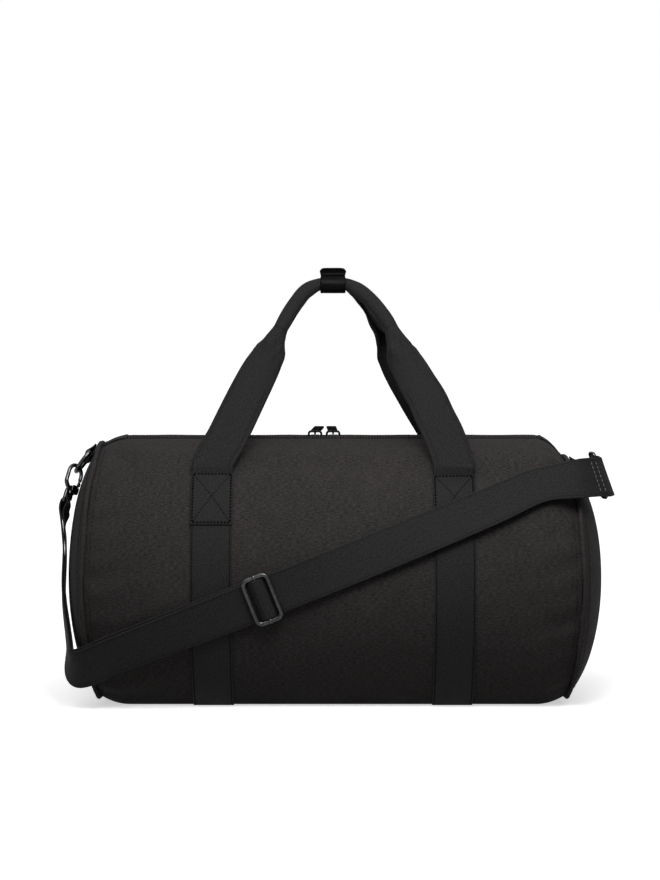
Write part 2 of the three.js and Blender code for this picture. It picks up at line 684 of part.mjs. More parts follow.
function addRing(side) {
  const frame = ringFrame(side);
  const corner = 3;
  const path = new THREE.Path();
  path.absarc(-RING_HALF_WIDTH + corner, corner, corner, Math.PI, 1.5 * Math.PI);
  path.absarc(RING_HALF_WIDTH - corner, corner, corner, 1.5 * Math.PI, 2 * Math.PI);
  path.absarc(0, RING_SIDE, RING_HALF_WIDTH, 0, Math.PI);
  path.closePath();
  const points = path.getSpacedPoints(30).slice(0, -1).map((p) => inFrame(frame, p.x, p.y, 0));
  addPiece(`${side}_d_ring`, wire(points, RING_WIRE, frame.facing, true, 8), "gunmetal");

  const turn = RING_WIRE + GAP + WEB_THICKNESS / 2;
  const length = RING_TAB_LENGTH;
  const root = inFrame(frame, 0, -length, 0);
  const under = offEndPanel(side, root.y, root.z, GAP + WEB_THICKNESS / 2);
  const low = under.sub(frame.origin).dot(frame.facing);
  const over = low + WEB_THICKNESS + GAP;
  const fold = Array.from({ length: 9 }, (_, i) => {
    const angle = -Math.PI / 2 + (Math.PI * i) / 8;
    return [turn * Math.cos(angle), turn * Math.sin(angle)];
  });
  const line = [[-length, low], ...fold, [-length * 0.6, lerp(turn, over, 0.8)], [-length, over]];
  const tab = line.map(([y, z]) => inFrame(frame, 0, y, z));
  const section = rectangle(RING_TAB_WIDTH, WEB_THICKNESS);
  const up = (i) => {
    const ahead = tab[Math.min(i + 1, tab.length - 1)].clone().sub(tab[Math.max(i - 1, 0)]);
    return ahead.cross(frame.across);
  };
  addPiece(`${side}_ring_tab`, sweep(tab, () => section, up), "webbing");
}

// ---------------------------------------------------------------- snap hooks
// The frames of a strap loop and of its hook, whose plane starts square to the ring's wire. Both have their
// origin on the loop's bar and point along to the top of the hook's bow.
function hookFrames(side) {
  const ring = ringFrame(side);
  const turn = degrees(RING_PULL[side] - RING_HANG[side]);
  const across = sideSign[side] * RING_HALF_WIDTH * Math.sin(turn);
  const wireAt = inFrame(ring, across, RING_SIDE + RING_HALF_WIDTH * Math.cos(turn), 0);
  const heading = degrees(RING_PULL[side]);
  const lean = degrees(HOOK_LEAN);
  const level = Math.cos(lean);
  const pull = vec(sideSign[side] * Math.sin(lean), -level * Math.sin(heading), -level * Math.cos(heading));
  const origin = wireAt.addScaledVector(pull, HOOK_LENGTH - HOOK_ROD - HOOK_SLACK - RING_WIRE);
  const wireAlong = ring.across.clone().multiplyScalar(sideSign[side] * Math.cos(turn));
  wireAlong.addScaledVector(ring.along, -Math.sin(turn));
  const along = pull.negate();
  return { loop: frameOf(origin, along, LOOP_FACING[side]), hook: frameOf(origin, along, wireAlong) };
}

const LOOP_FACING = { left: vec(-1, 0, 0.1), right: vec(1, 0, 0.3) };

const POST_RADIUS = 1.5;
const BOSS_RADIUS = 4;
const BOSS_LENGTH = 5;
const HOOK_NECK = 6;
const SPINE_X = HOOK_BOW_RADIUS;
const GATE_PIN_X = 6;
const GATE_PIN_RADIUS = 0.9;
const GATE_WIDTH = 2.2;
const EAR_THICKNESS = 1.5;

function loopGeometry() {
  const height = LOOP_OPENING + 2 * LOOP_WIRE;
  const width = STRAP_WIDTH + 2 * GAP + 2 * LOOP_CORNER;
  const outline = outlinePoints(roundedRectangle(width, height, LOOP_CORNER), 32);
  const ring = wire(outline, LOOP_WIRE, vec(0, 0, 1), true, 8).translate(0, height / 2, 0);
  const boss = cylinder(BOSS_RADIUS, height - BOSS_LENGTH / 2, height + BOSS_LENGTH / 2);
  const bore = cylinder(POST_RADIUS + GAP, height - BOSS_LENGTH, height + BOSS_LENGTH);
  return cut(join(ring, boss), bore);
}

function hookGeometries() {
  const bossTop = LOOP_OPENING + 2 * LOOP_WIRE + BOSS_LENGTH / 2;
  const neck = bossTop + GAP;
  const head = bossTop - BOSS_LENGTH - GAP - 1.2;
  const post = join(cylinder(POST_RADIUS, head + 0.6, neck - GAP / 2, 14), cylinder(2.8, head, head + 1.2, 14));
  const shoulder = neck + HOOK_NECK;
  const bowY = HOOK_LENGTH - HOOK_BOW_RADIUS;
  const spine = new THREE.CatmullRomCurve3([
    vec(0, neck + 2, 0), vec(-2, shoulder - 1, 0), vec(-SPINE_X + 0.5, shoulder + 5, 0), vec(-SPINE_X, bowY - 4, 0),
  ]).getPoints(7);
  const bow = Array.from({ length: 13 }, (_, i) => {
    const angle = Math.PI - (Math.PI * i) / 12;
    return vec(HOOK_BOW_RADIUS * Math.cos(angle), bowY + HOOK_BOW_RADIUS * Math.sin(angle), 0);
  });
  const tipY = bowY - 3;
  const rod = wire([...spine, ...bow, vec(SPINE_X, tipY, 0)], HOOK_ROD, vec(0, 0, 1), false, 8);
  const pinY = shoulder + 3;
  const earZ = GATE_WIDTH / 2 + GAP + EAR_THICKNESS / 2;
  const ear = (z) => block(GATE_PIN_X + 2.6, 9, EAR_THICKNESS, (GATE_PIN_X + 2.6) / 2 - 0.5, pinY - 2.4, z);
  const neckBlock = cylinder(BOSS_RADIUS, neck, shoulder - 1.2);
  const pinHole = cylinder(GATE_PIN_RADIUS + GAP / 2, -6, 6, 12).rotateX(Math.PI / 2).translate(GATE_PIN_X, pinY, 0);
  const body = cut(join(rod, neckBlock, ear(earZ), ear(-earZ)), pinHole);
  const gateTop = vec(SPINE_X, tipY - 2 * GAP, 0);
  const gateLine = [vec(GATE_PIN_X, pinY, 0), gateTop];
  const blade = sweep(gateLine, () => rectangle(GATE_WIDTH, GATE_WIDTH), () => vec(0, 0, 1));
  const eye = cylinder(2.1, -GATE_WIDTH / 2, GATE_WIDTH / 2, 14).rotateX(Math.PI / 2).translate(GATE_PIN_X, pinY, 0);
  const gate = cut(join(blade, eye), pinHole);
  const pinReach = earZ + EAR_THICKNESS / 2;
  const pin = cylinder(GATE_PIN_RADIUS, -pinReach, pinReach, 12).rotateX(Math.PI / 2).translate(GATE_PIN_X, pinY, 0);
  return { post, body, gate, pin };
}

function addHook(side, parts, loop) {
  const frames = hookFrames(side);
  addPiece(`${side}_strap_loop`, loop, "gunmetal", frameGroup(frames.loop));
  const turned = new THREE.Group();
  turned.rotation.y = degrees(HOOK_TURN[side]);
  frameGroup(frames.hook).add(turned);
  addPiece(`${side}_hook_swivel_post`, parts.post, "gunmetal", turned);
  addPiece(`${side}_hook_body`, parts.body, "gunmetal", turned);
  addPiece(`${side}_hook_gate`, parts.gate, "gunmetal", turned);
  addPiece(`${side}_hook_gate_pin`, parts.pin, "gunmetal", turned);
}

// ---------------------------------------------------------------- shoulder strap
// The strap is one length of webbing. It is sewn round the right loop, crosses the front, goes round the
// lower left corner and through the left loop, and its second layer runs back to the adjuster.
const STRAP_NEST = 1; // how far the strap beds down between the handle anchors
const STRAP_LIFT = ANCHOR_OVER + GAP + STRAP_THICKNESS / 2 + STRAP_LAYER / 2 - STRAP_NEST;
const STRAP_STATIONS = 64;
const FOLD_RADIUS = LOOP_WIRE + GAP + STRAP_THICKNESS / 2;
const FOLD_EASE = 16;

const STRAP_STOPS = [190, 150, 110, 60, 10, -40, -90, -140, -180, -206]; // places along the bag's front

function onFront(x) {
  const z = STRAP_MID_HEIGHT + STRAP_SLOPE * x;
  const level = (z - CENTRE_Z) / (RISE + STRAP_LIFT);
  const depth = Math.sqrt(1 - level * level);
  const facing = vec(0, -depth / HALF_DEPTH, level / RISE).normalize();
  return { at: vec(x, -(HALF_DEPTH + STRAP_LIFT) * depth, z), facing };
}

// Middle line of the doubled strap from the right loop's bar to the left one's, with where it faces.
function strapLine() {
  const right = hookFrames("right").loop;
  const left = hookFrames("left").loop;
  const corner = SEAM_LENGTH / 2;
  const stretch = STRAP_STOPS.map(onFront);
  const stops = [
    { at: right.origin, facing: right.facing },
    { at: inFrame(right, 0, -FOLD_EASE / 2, 0), facing: right.facing },
    { at: inFrame(right, 0, -16, 0.5), facing: right.facing.clone().lerp(vec(0.5, -0.8, 0.3), 0.3) },
    { at: vec(corner + 2, -97, 216), facing: vec(0.45, -0.8, 0.4) },
    ...stretch,
    { at: vec(-corner, -111, 42), facing: vec(-0.3, -0.85, -0.4) },
    { at: vec(-corner - 14, -98, 41), facing: vec(-0.8, -0.55, -0.25) },
    { at: vec(-corner - 17.5, -80, 64), facing: vec(-1, -0.2, -0.1) },
    { at: offEndPanel("left", -61, 104, STRAP_END_LIFT), facing: endPanelNormal("left", -61, 104) },
    { at: offEndPanel("left", -44, 146, STRAP_END_LIFT), facing: endPanelNormal("left", -44, 146) },
    { at: inFrame(left, 0, -FOLD_EASE / 2, 0), facing: left.facing },
    { at: left.origin, facing: left.facing },
  ];
  const curve = new THREE.CatmullRomCurve3(stops.map((stop) => stop.at), false, "centripetal");
  const facings = new THREE.CatmullRomCurve3(stops.map((stop) => stop.facing.clone().normalize()));
  curve.arcLengthDivisions = 800;
  const length = curve.getLength();
  const even = Array.from({ length: STRAP_STATIONS }, (_, i) => (length * (i + 1)) / (STRAP_STATIONS + 1));
  return [0, FOLD_EASE / 4, ...even, length - FOLD_EASE / 4, length].map((distance) => {
    const t = curve.getUtoTmapping(distance / length);
    const along = curve.getTangent(t);
    const facing = facings.getPoint(t);
    facing.addScaledVector(along, -facing.dot(along)).normalize();
    return { at: curve.getPoint(t), along, facing, fromEnd: Math.min(distance, length - distance) };
  });
}

const strap = strapLine();

function addStrapWebbing() {
  const layer = (sign) => ({ at, facing, fromEnd }) => {
    const half = lerp(FOLD_RADIUS, STRAP_LAYER / 2, smoothstep(fromEnd, 0, FOLD_EASE));
    return { at: at.clone().addScaledVector(facing, sign * half), up: facing.clone().multiplyScalar(sign) };
  };
  const foldAt = ({ at, facing, along }, outward, from) => Array.from({ length: 7 }, (_, i) => {
    const angle = (Math.PI * (i + 1)) / 8;
    const up = facing.clone().multiplyScalar(from * Math.cos(angle)).addScaledVector(along, outward * Math.sin(angle));
    return { at: at.clone().addScaledVector(up, FOLD_RADIUS), up };
  });
  const middle = Math.floor(strap.length / 2);
  const tail = strap.slice(0, middle).filter(({ fromEnd }) => fromEnd < STRAP_SEWN_TAIL).reverse();
  const returnEnd = strap.findIndex(({ at }) => at.x < ADJUSTER_X + ADJUSTER_LENGTH / 2 && at.y < -HALF_DEPTH / 2);
  const rows = [
    ...tail.map(layer(-1)),
    ...foldAt(strap[0], -1, -1),
    ...strap.map(layer(1)),
    ...foldAt(strap.at(-1), 1, 1),
    ...strap.slice(returnEnd).reverse().map(layer(-1)),
  ];
  const section = rectangle(STRAP_WIDTH, STRAP_THICKNESS);
  const path = rows.map((row) => row.at);
  addPiece("shoulder_strap_webbing", sweep(path, () => section, (i) => rows[i].up), "webbing");
}

// ---------------------------------------------------------------- strap adjuster
function adjusterFrame() {
  const { at, along, facing } = strap.reduce((best, stop) => (
    Math.abs(stop.at.x - ADJUSTER_X) < Math.abs(best.at.x - ADJUSTER_X) ? stop : best
  ));
  const surface = at.clone().addScaledVector(facing, STRAP_LAYER / 2 + STRAP_THICKNESS / 2);
  return frameOf(surface, along.clone().negate(), facing);
}

const ADJUSTER_LIFT = ADJUSTER_WIRE + ADJUSTER_RIDE;

function addAdjuster() {
  const group = frameGroup(adjusterFrame());
  const width = STRAP_WIDTH + 4 * GAP + 2 * ADJUSTER_WIRE;
  const length = ADJUSTER_LENGTH - 2 * ADJUSTER_WIRE;
  const outline = outlinePoints(roundedRectangle(width, length, ADJUSTER_CORNER), 36);
  const rimWire = wire(outline, ADJUSTER_WIRE, vec(0, 0, 1), true, 8).translate(0, 0, ADJUSTER_LIFT);
  addPiece("adjuster_frame", rimWire, "gunmetal", group);

  const barLength = width - 2 * ADJUSTER_WIRE - 2 * GAP;
  const barRadius = ADJUSTER_WIRE - GAP;
  const bar = cylinder(barRadius, -barLength / 2, barLength / 2, 12).rotateZ(Math.PI / 2);
  addPiece("adjuster_bar", bar.translate(0, 0, ADJUSTER_LIFT), "gunmetal", group);

  const crest = ADJUSTER_LIFT + barRadius + GAP + STRAP_THICKNESS / 2;
  const foot = ADJUSTER_RIDE + STRAP_THICKNESS / 2;
  const reach = length / 2 - ADJUSTER_CORNER;
  const hump = Array.from({ length: 13 }, (_, i) => {
    const share = -1 + i / 6;
    return vec(0, share * reach, lerp(foot, crest, smoothstep(1 - Math.abs(share), 0, 0.72)));
  });
  const section = rectangle(STRAP_WIDTH, STRAP_THICKNESS);
  addPiece("adjuster_strap_fold", sweep(hump, () => section, () => vec(0, 0, 1)), "webbing", group);
}

bag.name = "duffel_bag";
addSidePanels();
addEndPanels();
addPiping();
addLiningAndBoard();
addZipStrips();
addSliders();
addWebs();
FACES.forEach(addHandle);
addWrap();
SIDES.forEach(addRing);
const hookParts = hookGeometries();
const strapLoop = loopGeometry();
SIDES.forEach((side) => addHook(side, hookParts, strapLoop));
addStrapWebbing();
addAdjuster();

export default bag;
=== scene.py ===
"""The looks of a barrel duffel bag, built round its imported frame.

Sizes inside the classes are in millimetres, and a mesh is turned into metres when it is made. +X runs along
the bag to its right end, -Y is its front and +Z is up. The origin is on the ground, under the bag's middle.
"""

import json
import logging
import math
from dataclasses import dataclass, field
from enum import Enum

import bpy
import numpy as np
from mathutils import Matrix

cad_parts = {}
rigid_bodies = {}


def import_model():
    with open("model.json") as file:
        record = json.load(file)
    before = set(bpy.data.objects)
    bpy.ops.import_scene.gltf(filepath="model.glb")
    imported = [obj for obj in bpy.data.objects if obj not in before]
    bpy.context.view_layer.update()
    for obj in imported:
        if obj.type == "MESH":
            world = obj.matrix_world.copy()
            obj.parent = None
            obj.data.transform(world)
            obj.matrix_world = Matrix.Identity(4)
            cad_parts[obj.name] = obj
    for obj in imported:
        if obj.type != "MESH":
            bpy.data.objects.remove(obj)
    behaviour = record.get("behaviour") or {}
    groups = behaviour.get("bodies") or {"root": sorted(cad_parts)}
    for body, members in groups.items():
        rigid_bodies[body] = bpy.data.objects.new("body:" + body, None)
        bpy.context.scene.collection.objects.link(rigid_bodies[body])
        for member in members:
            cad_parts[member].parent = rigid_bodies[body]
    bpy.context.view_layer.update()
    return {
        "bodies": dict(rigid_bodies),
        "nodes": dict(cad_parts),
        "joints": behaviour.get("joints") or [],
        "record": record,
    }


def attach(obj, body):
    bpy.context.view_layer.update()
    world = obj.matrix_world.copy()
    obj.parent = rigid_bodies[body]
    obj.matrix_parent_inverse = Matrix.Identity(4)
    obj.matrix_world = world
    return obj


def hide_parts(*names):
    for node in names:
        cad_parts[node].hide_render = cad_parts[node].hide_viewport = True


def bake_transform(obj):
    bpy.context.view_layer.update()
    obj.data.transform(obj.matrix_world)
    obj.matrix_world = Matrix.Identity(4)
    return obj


Array = np.ndarray
Frame = tuple[Array, Array]
Node = bpy.types.Node
Socket = bpy.types.NodeSocket
LOG = logging.getLogger("duffel")
METRES = 0.001
SIDES = ("left", "right")
FACES = ("front", "back")
SIDE_SIGN = {"left": -1.0, "right": 1.0}
FACE_SIGN = {"front": 1.0, "back": -1.0}
ALONG_BAG = np.array([1.0, 0.0, 0.0])
UP = np.array([0.0, 0.0, 1.0])
LATHE_STEPS = 28


# ---------------------------------------------------------------- curves and vectors


def unit(vectors: Array) -> Array:
    """Returns the vectors at length one, each divided by its own length."""
    return vectors / np.maximum(np.linalg.norm(vectors, axis=-1, keepdims=True), 1e-12)


def mix(a: Array | float, b: Array | float, share: Array | float) -> Array | float:
    """Returns a at share 0 and b at share 1, in a straight line between them."""
    return a + (b - a) * share


def ease(value: Array | float, start: float, end: float) -> Array:
    """Returns 0 before start and 1 after end, with the curve 3t^2 - 2t^3 between them."""
    t = np.clip((np.asarray(value, float) - start) / (end - start), 0.0, 1.0)
    return t * t * (3.0 - 2.0 * t)


def bell(value: Array, middle: float, width: float) -> Array:
    """Returns a bell of height 1: e to the minus squared distance from the middle, in widths."""
    return np.exp(-(((value - middle) / width) ** 2))


def ripple(*terms: Array) -> Array:
    """Returns the mean of the sines of several phases, for a surface with no straight repeat."""
    return sum(np.sin(term) for term in terms) / len(terms)


def spline(stops: Array, count: int) -> Array:
    """Carries a centripetal Catmull-Rom curve through stops.

    Each span is a cubic whose end slopes come from the neighbouring spans, weighted by the square root of
    their lengths.

    Args:
        stops: The points passed through, one a row.
        count: How many samples are taken in all, even in the curve's own parameter.

    Returns:
        The sampled points, one a row.
    """
    first, last = 2 * stops[0] - stops[1], 2 * stops[-1] - stops[-2]
    p = np.vstack([first, stops, last])
    knots = np.maximum(np.linalg.norm(np.diff(p, axis=0), axis=1), 1e-6) ** 0.5
    place = np.linspace(0, len(stops) - 1 - 1e-9, count)
    span = place.astype(int)
    t = (place - span)[:, None]
    p0, p1, p2, p3 = (p[span + i] for i in range(4))
    d0, d1, d2 = (knots[span + i][:, None] for i in range(3))
    slope1 = ((p1 - p0) / d0 - (p2 - p0) / (d0 + d1) + (p2 - p1) / d1) * d1
    slope2 = ((p2 - p1) / d1 - (p3 - p1) / (d1 + d2) + (p3 - p2) / d2) * d1
    a, b = 2 * p1 - 2 * p2 + slope1 + slope2, -3 * p1 + 3 * p2 - 2 * slope1 - slope2
    return a * t**3 + b * t**2 + slope1 * t + p1


def lengths_along(points: Array) -> Array:
    """Returns each point's distance along its path from the first point."""
    return np.concatenate([[0.0], np.cumsum(np.linalg.norm(np.diff(points, axis=0), axis=1))])


def at_lengths(run: Array, rows: Array, at: Array) -> Array:
    """Returns rows interpolated at lengths along the line they belong to."""
    return np.column_stack([np.interp(at, run, rows[:, i]) for i in range(rows.shape[1])])


def evenly(points: Array, count: int) -> Array:
    """Returns count points spaced evenly along a path, found on its chords by length."""
    run = lengths_along(points)
    return at_lengths(run, points, np.linspace(0.0, run[-1], count))


def wire_round(outline: Array, count: int, lift: float = 0.0) -> Array:
    """Returns count points spaced evenly round a flat outline, at a height over its plane."""
    path = np.column_stack([outline, np.full(len(outline), lift)])
    return evenly(np.vstack([path, path[:1]]), count + 1)[:-1]


def arc(x: float, y: float, radius: float, start: float, end: float, count: int) -> Array:
    """Returns points of a circle's arc: centre plus radius times cosine and sine, angles in degrees."""
    turn = np.radians(np.linspace(start, end, count))
    return np.column_stack([x + radius * np.cos(turn), y + radius * np.sin(turn)])


def around(count: int) -> Array:
    """Returns angles spaced evenly round a full turn."""
    return np.linspace(0, 2 * np.pi, count, endpoint=False)


def rounded_box(width: float, height: float, corner: float, count: int = 5) -> Array:
    """Returns a closed rectangle outline with round corners, as four arcs."""
    w, h = width / 2 - corner, height / 2 - corner
    corners = ((w, h, 0), (-w, h, 90), (-w, -h, 180), (w, -h, 270))
    return np.vstack([arc(x, y, corner, turn, turn + 90, count) for x, y, turn in corners])


def stadium(width: float, thickness: float, flat: int = 9, turn: int = 4) -> Array:
    """Returns a strap's section as [across, up]: a flat face each way and half-round edges.

    Args:
        width: From edge to edge.
        thickness: Between the two faces.
        flat: Points along each face.
        turn: Points round each edge.

    Returns:
        An even number of points, the upper half first, so that point i lies over point -1 - i.
    """
    r = thickness / 2
    edge = arc(-width / 2 + r, 0, r, 180, 100, turn)
    top = np.column_stack([np.linspace(-width / 2 + r, width / 2 - r, flat), np.full(flat, r)])
    upper = np.vstack([edge, top, edge[::-1] * [-1, 1]])
    return np.vstack([upper, upper[::-1] * [1, -1]])


def directions(path: Array, closed: bool = False) -> Array:
    """Returns the unit direction of a path at each point, from the point before to the point after."""
    if closed:
        return unit(np.roll(path, -1, axis=0) - np.roll(path, 1, axis=0))
    return unit(np.gradient(path, axis=0))


def sweep(path: Array, section: Array, up: Array, closed: bool = False) -> Array:
    """Carries a section along a path.

    Each ring is the path's point, plus the section's first number across it and its second number along up,
    made square to the path.

    Args:
        path: Points, one a row.
        section: [across, up] pairs, either one set or one set for each point.
        up: The way the section stands, either one vector or one for each point.
        closed: Whether the path joins its own start.

    Returns:
        Rings of points, shaped (path points, section points, 3).
    """
    along = directions(path, closed)
    up = np.broadcast_to(up, path.shape)
    across = unit(np.cross(along, up))
    raised = np.cross(across, along)
    section = np.broadcast_to(section, (len(path), *section.shape[-2:]))
    return path[:, None] + section[..., :1] * across[:, None] + section[..., 1:] * raised[:, None]


def frame_of(origin: Array, along: Array, facing: Array) -> Frame:
    """Returns an origin and the rows across, along and facing, all square to each other."""
    y = unit(np.asarray(along, float))
    z = unit(np.asarray(facing, float) - y * np.dot(facing, y))
    return np.asarray(origin, float), np.array([np.cross(y, z), y, z])


def placed(points: Array, frame: Frame) -> Array:
    """Moves points from a frame's own axes into the bag's."""
    return frame[0] + points @ frame[1]


def lathe(profile: Array, frame: Frame) -> Array:
    """Turns a closed profile of [radius, along] pairs round a frame's second axis, as rings round that axis."""
    profile = np.array(profile)
    turn = around(LATHE_STEPS)[:, None]
    along = np.broadcast_to(profile[:, 1], (LATHE_STEPS, len(profile)))
    return placed(np.stack([profile[:, 0] * np.cos(turn), along, profile[:, 0] * np.sin(turn)], -1), frame)


def volume(points: Array, quads: Array) -> float:
    """Returns six times the volume inside quads, above zero where they face out."""
    a, b, c, d = (points[quads[:, k]] for k in range(4))
    return float(np.sum(a * (np.cross(b, c) + np.cross(c, d))))


# ---------------------------------------------------------------- pieces being made


@dataclass(frozen=True)
class Seam:
    """A row of stitches: from one to the next, the length of each, and its thread's radius and finish."""

    pitch: float = 2.6
    length: float = 2.0
    radius: float = 0.3
    finish: int = 1


TAB_SEAM = Seam()
RING_TAB_SEAM = Seam(pitch=2.4)
PANEL_SEAM = Seam(pitch=3.0, radius=0.24)
GUSSET_FOLD_SEAM = Seam(2.7, 1.7, 0.24)
GUSSET_EDGE_SEAM = Seam(2.7, 1.7, 0.5)
WEB_SEAM = Seam(2.6, 1.9, 0.5)
PATCH_EDGE_SEAM = Seam(3.1, 2.2, 0.9)
PATCH_CROSS_SEAM = Seam(3.1, 2.2, 0.45)
LEG_SEAM = Seam(2.3, 1.8, 0.26)
GRIP_SEAM = Seam(4.0, 3.0, 0.32)
WRAP_SEAM = Seam(2.2, 1.5, 0.2)
STRAP_SEAM = Seam(2.2, 1.6, 0.2)
STRAP_END_SEAM = Seam(4.2, 3.3, 0.5, finish=2)


class Work:
    """A piece in the making: corners, quads, pattern coordinates and the finish of each part."""

    def __init__(self) -> None:
        """Starts with nothing."""
        self.corners: list[Array] = []
        self.quads: list[Array] = []
        self.uvs: list[Array] = []
        self.finish: list[Array] = []
        self.round: list[Array] = []
        self.count = 0

    def add(self, corners: Array, quads: Array, uv: Array, finish: int = 0,
            smooth: Array | bool = True) -> None:
        """Adds corners, quads of their numbers, and a pattern coordinate for each quad corner."""
        self.corners.append(corners.reshape(-1, 3))
        self.quads.append(quads + self.count)
        self.uvs.append(uv.reshape(-1, 2))
        self.finish.append(np.full(len(quads), finish, np.int32))
        self.round.append(np.broadcast_to(smooth, len(quads)))
        self.count += len(self.corners[-1])

    def loft(self, rings: Array, closed: bool = False, finish: int = 0, uv_shift: float = 0.0) -> None:
        """Skins rings of points into one closed body facing out.

        A pattern coordinate is the mean length along the rings and round the widest ring, in millimetres.
        Each end is closed by strips between point i and point -1 - i of its ring.

        Args:
            rings: Points shaped (rings, points in a ring, 3).
            closed: Whether the last ring joins the first, which leaves no ends to close.
            finish: The number of the part's finish.
            uv_shift: A length added to the pattern, so that neighbours don't repeat each other.
        """
        n, m = rings.shape[:2]
        rows = n if closed else n - 1
        i, j = np.meshgrid(np.arange(rows), np.arange(m), indexing="ij")
        i2, j2 = (i + 1) % n, (j + 1) % m
        quads = np.stack([i * m + j, i2 * m + j, i2 * m + j2, i * m + j2], -1).reshape(-1, 4)
        loop = np.vstack([rings, rings[:1]]) if closed else rings
        u = np.concatenate([[0], np.cumsum(np.linalg.norm(np.diff(loop, axis=0), axis=2).mean(1))])
        wide = rings[np.argmax(np.linalg.norm(np.diff(rings, axis=1), axis=2).sum(1))]
        v = lengths_along(np.vstack([wide, wide[:1]]))
        u4 = np.stack([u[i], u[i + 1], u[i + 1], u[i]], -1).reshape(-1, 4) + uv_shift
        v4 = np.stack([v[j], v[j], v[j + 1], v[j + 1]], -1).reshape(-1, 4)
        k = np.arange(0 if closed else m // 2 - 1)
        low = np.stack([k, k + 1, m - 2 - k, m - 1 - k], -1)
        caps = np.vstack([low, (low + (n - 1) * m)[:, ::-1]])
        cap_uv = np.stack([v[caps % m], np.full(caps.shape, uv_shift)], -1)
        faces, uv = np.vstack([quads, caps]), np.concatenate([np.stack([u4, v4], -1), cap_uv])
        points = rings.reshape(-1, 3)
        if volume(points, faces) < 0:
            faces, uv = faces[:, ::-1], uv[:, ::-1]
        self.add(points, faces, uv, finish, np.arange(len(faces)) < len(quads))

    def tube(self, path: Array, radius: float | Array, up: Array, closed: bool = False, sides: int = 14,
             finish: int = 0) -> None:
        """Carries a round rod along a path, with its ends drawn in to small domes.

        Args:
            path: Points, one a row.
            radius: One radius, or one for each point.
            up: A vector that is never along the path.
            closed: Whether the path joins its own start.
            sides: Points round the rod, an even number.
            finish: The number of the part's finish.
        """
        radius = np.broadcast_to(radius, len(path)).astype(float)
        if not closed:
            along = directions(path)
            lift = np.array([0.0, 0.35, 0.75])
            start = path[0] - along[0] * radius[0] * (0.8 - lift)[:, None]
            end = path[-1] + along[-1] * radius[-1] * (0.8 - lift[::-1])[:, None]
            dome = np.array([0.45, 0.8, 0.97])
            path = np.vstack([start, path, end])
            radius = np.concatenate([radius[0] * dome, radius, radius[-1] * dome[::-1]])
        turn = around(sides) + np.pi / sides
        circle = np.column_stack([np.cos(turn), np.sin(turn)])
        self.loft(sweep(path, circle * radius[:, None, None], up, closed), closed, finish)

    def stitches(self, line: Array, normals: Array, seam: Seam) -> None:
        """Sews a row of stitches on a line, each a small closed bead that dips at both ends.

        Args:
            line: Points of the row, on the cloth.
            normals: The way the cloth faces at each point.
            seam: The sizes of its stitches.
        """
        run = lengths_along(line)
        count = max(2, int(run[-1] / seam.pitch))
        at = (np.arange(count) + 0.5) * run[-1] / count
        point = at_lengths(run, line, at)
        facing = unit(at_lengths(run, normals, at))
        along = unit(at_lengths(run, directions(line), at))
        across = np.cross(along, facing)
        turn = np.radians(np.arange(6) * 60.0)
        profile = np.array([[-0.5, 0.3, -0.5], [-0.3, 0.95, 0.2], [0.3, 0.95, 0.2], [0.5, 0.3, -0.5]])
        move = profile[:, 0, None, None] * seam.length * along[:, None, None]
        ring = np.cos(turn)[:, None] * across[:, None, None] + np.sin(turn)[:, None] * facing[:, None, None]
        rise = profile[:, 2, None, None] * seam.radius * facing[:, None, None]
        corners = point[:, None, None] + move + rise + profile[:, 1, None, None] * seam.radius * ring
        i, j = np.meshgrid(np.arange(3), np.arange(6), indexing="ij")
        side = np.stack([i * 6 + j, i * 6 + (j + 1) % 6, (i + 1) * 6 + (j + 1) % 6, (i + 1) * 6 + j], -1)
        caps = np.array([[0, 5, 4, 1], [1, 4, 3, 2], [18, 19, 22, 23], [19, 20, 21, 22]])
        one = np.vstack([side.reshape(-1, 4), caps])
        quads = (one[None] + 24 * np.arange(count)[:, None, None]).reshape(-1, 4)
        first = corners[0].reshape(-1, 3)
        a, b, c = (first[one[:18, k]] for k in range(3))
        if np.einsum("ij,ij->i", a - point[0], np.cross(b - point[0], c - point[0])).sum() < 0:
            quads = quads[:, ::-1]
        self.add(corners, quads, np.zeros((len(quads), 4, 2)), seam.finish)

    def slab(self, outline: Array, low: float, high: float, bevel: float, frame: Frame,
             finish: int = 0) -> None:
        """Raises a flat outline into a plate with rounded edges, drawn in by a quarter circle at each face."""
        turn = np.radians(np.linspace(0, 90, 4))
        inset = bevel * (1 - np.sin(turn))
        rise = bevel * (1 - np.cos(turn))
        inset = np.concatenate([[bevel * 1.6], inset, inset[::-1], [bevel * 1.6]])
        level = np.concatenate([[low], low + rise, high - rise[::-1], [high]])
        flat = outline - unit(outline - outline.mean(0)) * inset[:, None, None]
        rings = np.concatenate([flat, np.broadcast_to(level[:, None, None], (*flat.shape[:2], 1))], -1)
        self.loft(placed(rings, frame), finish=finish)

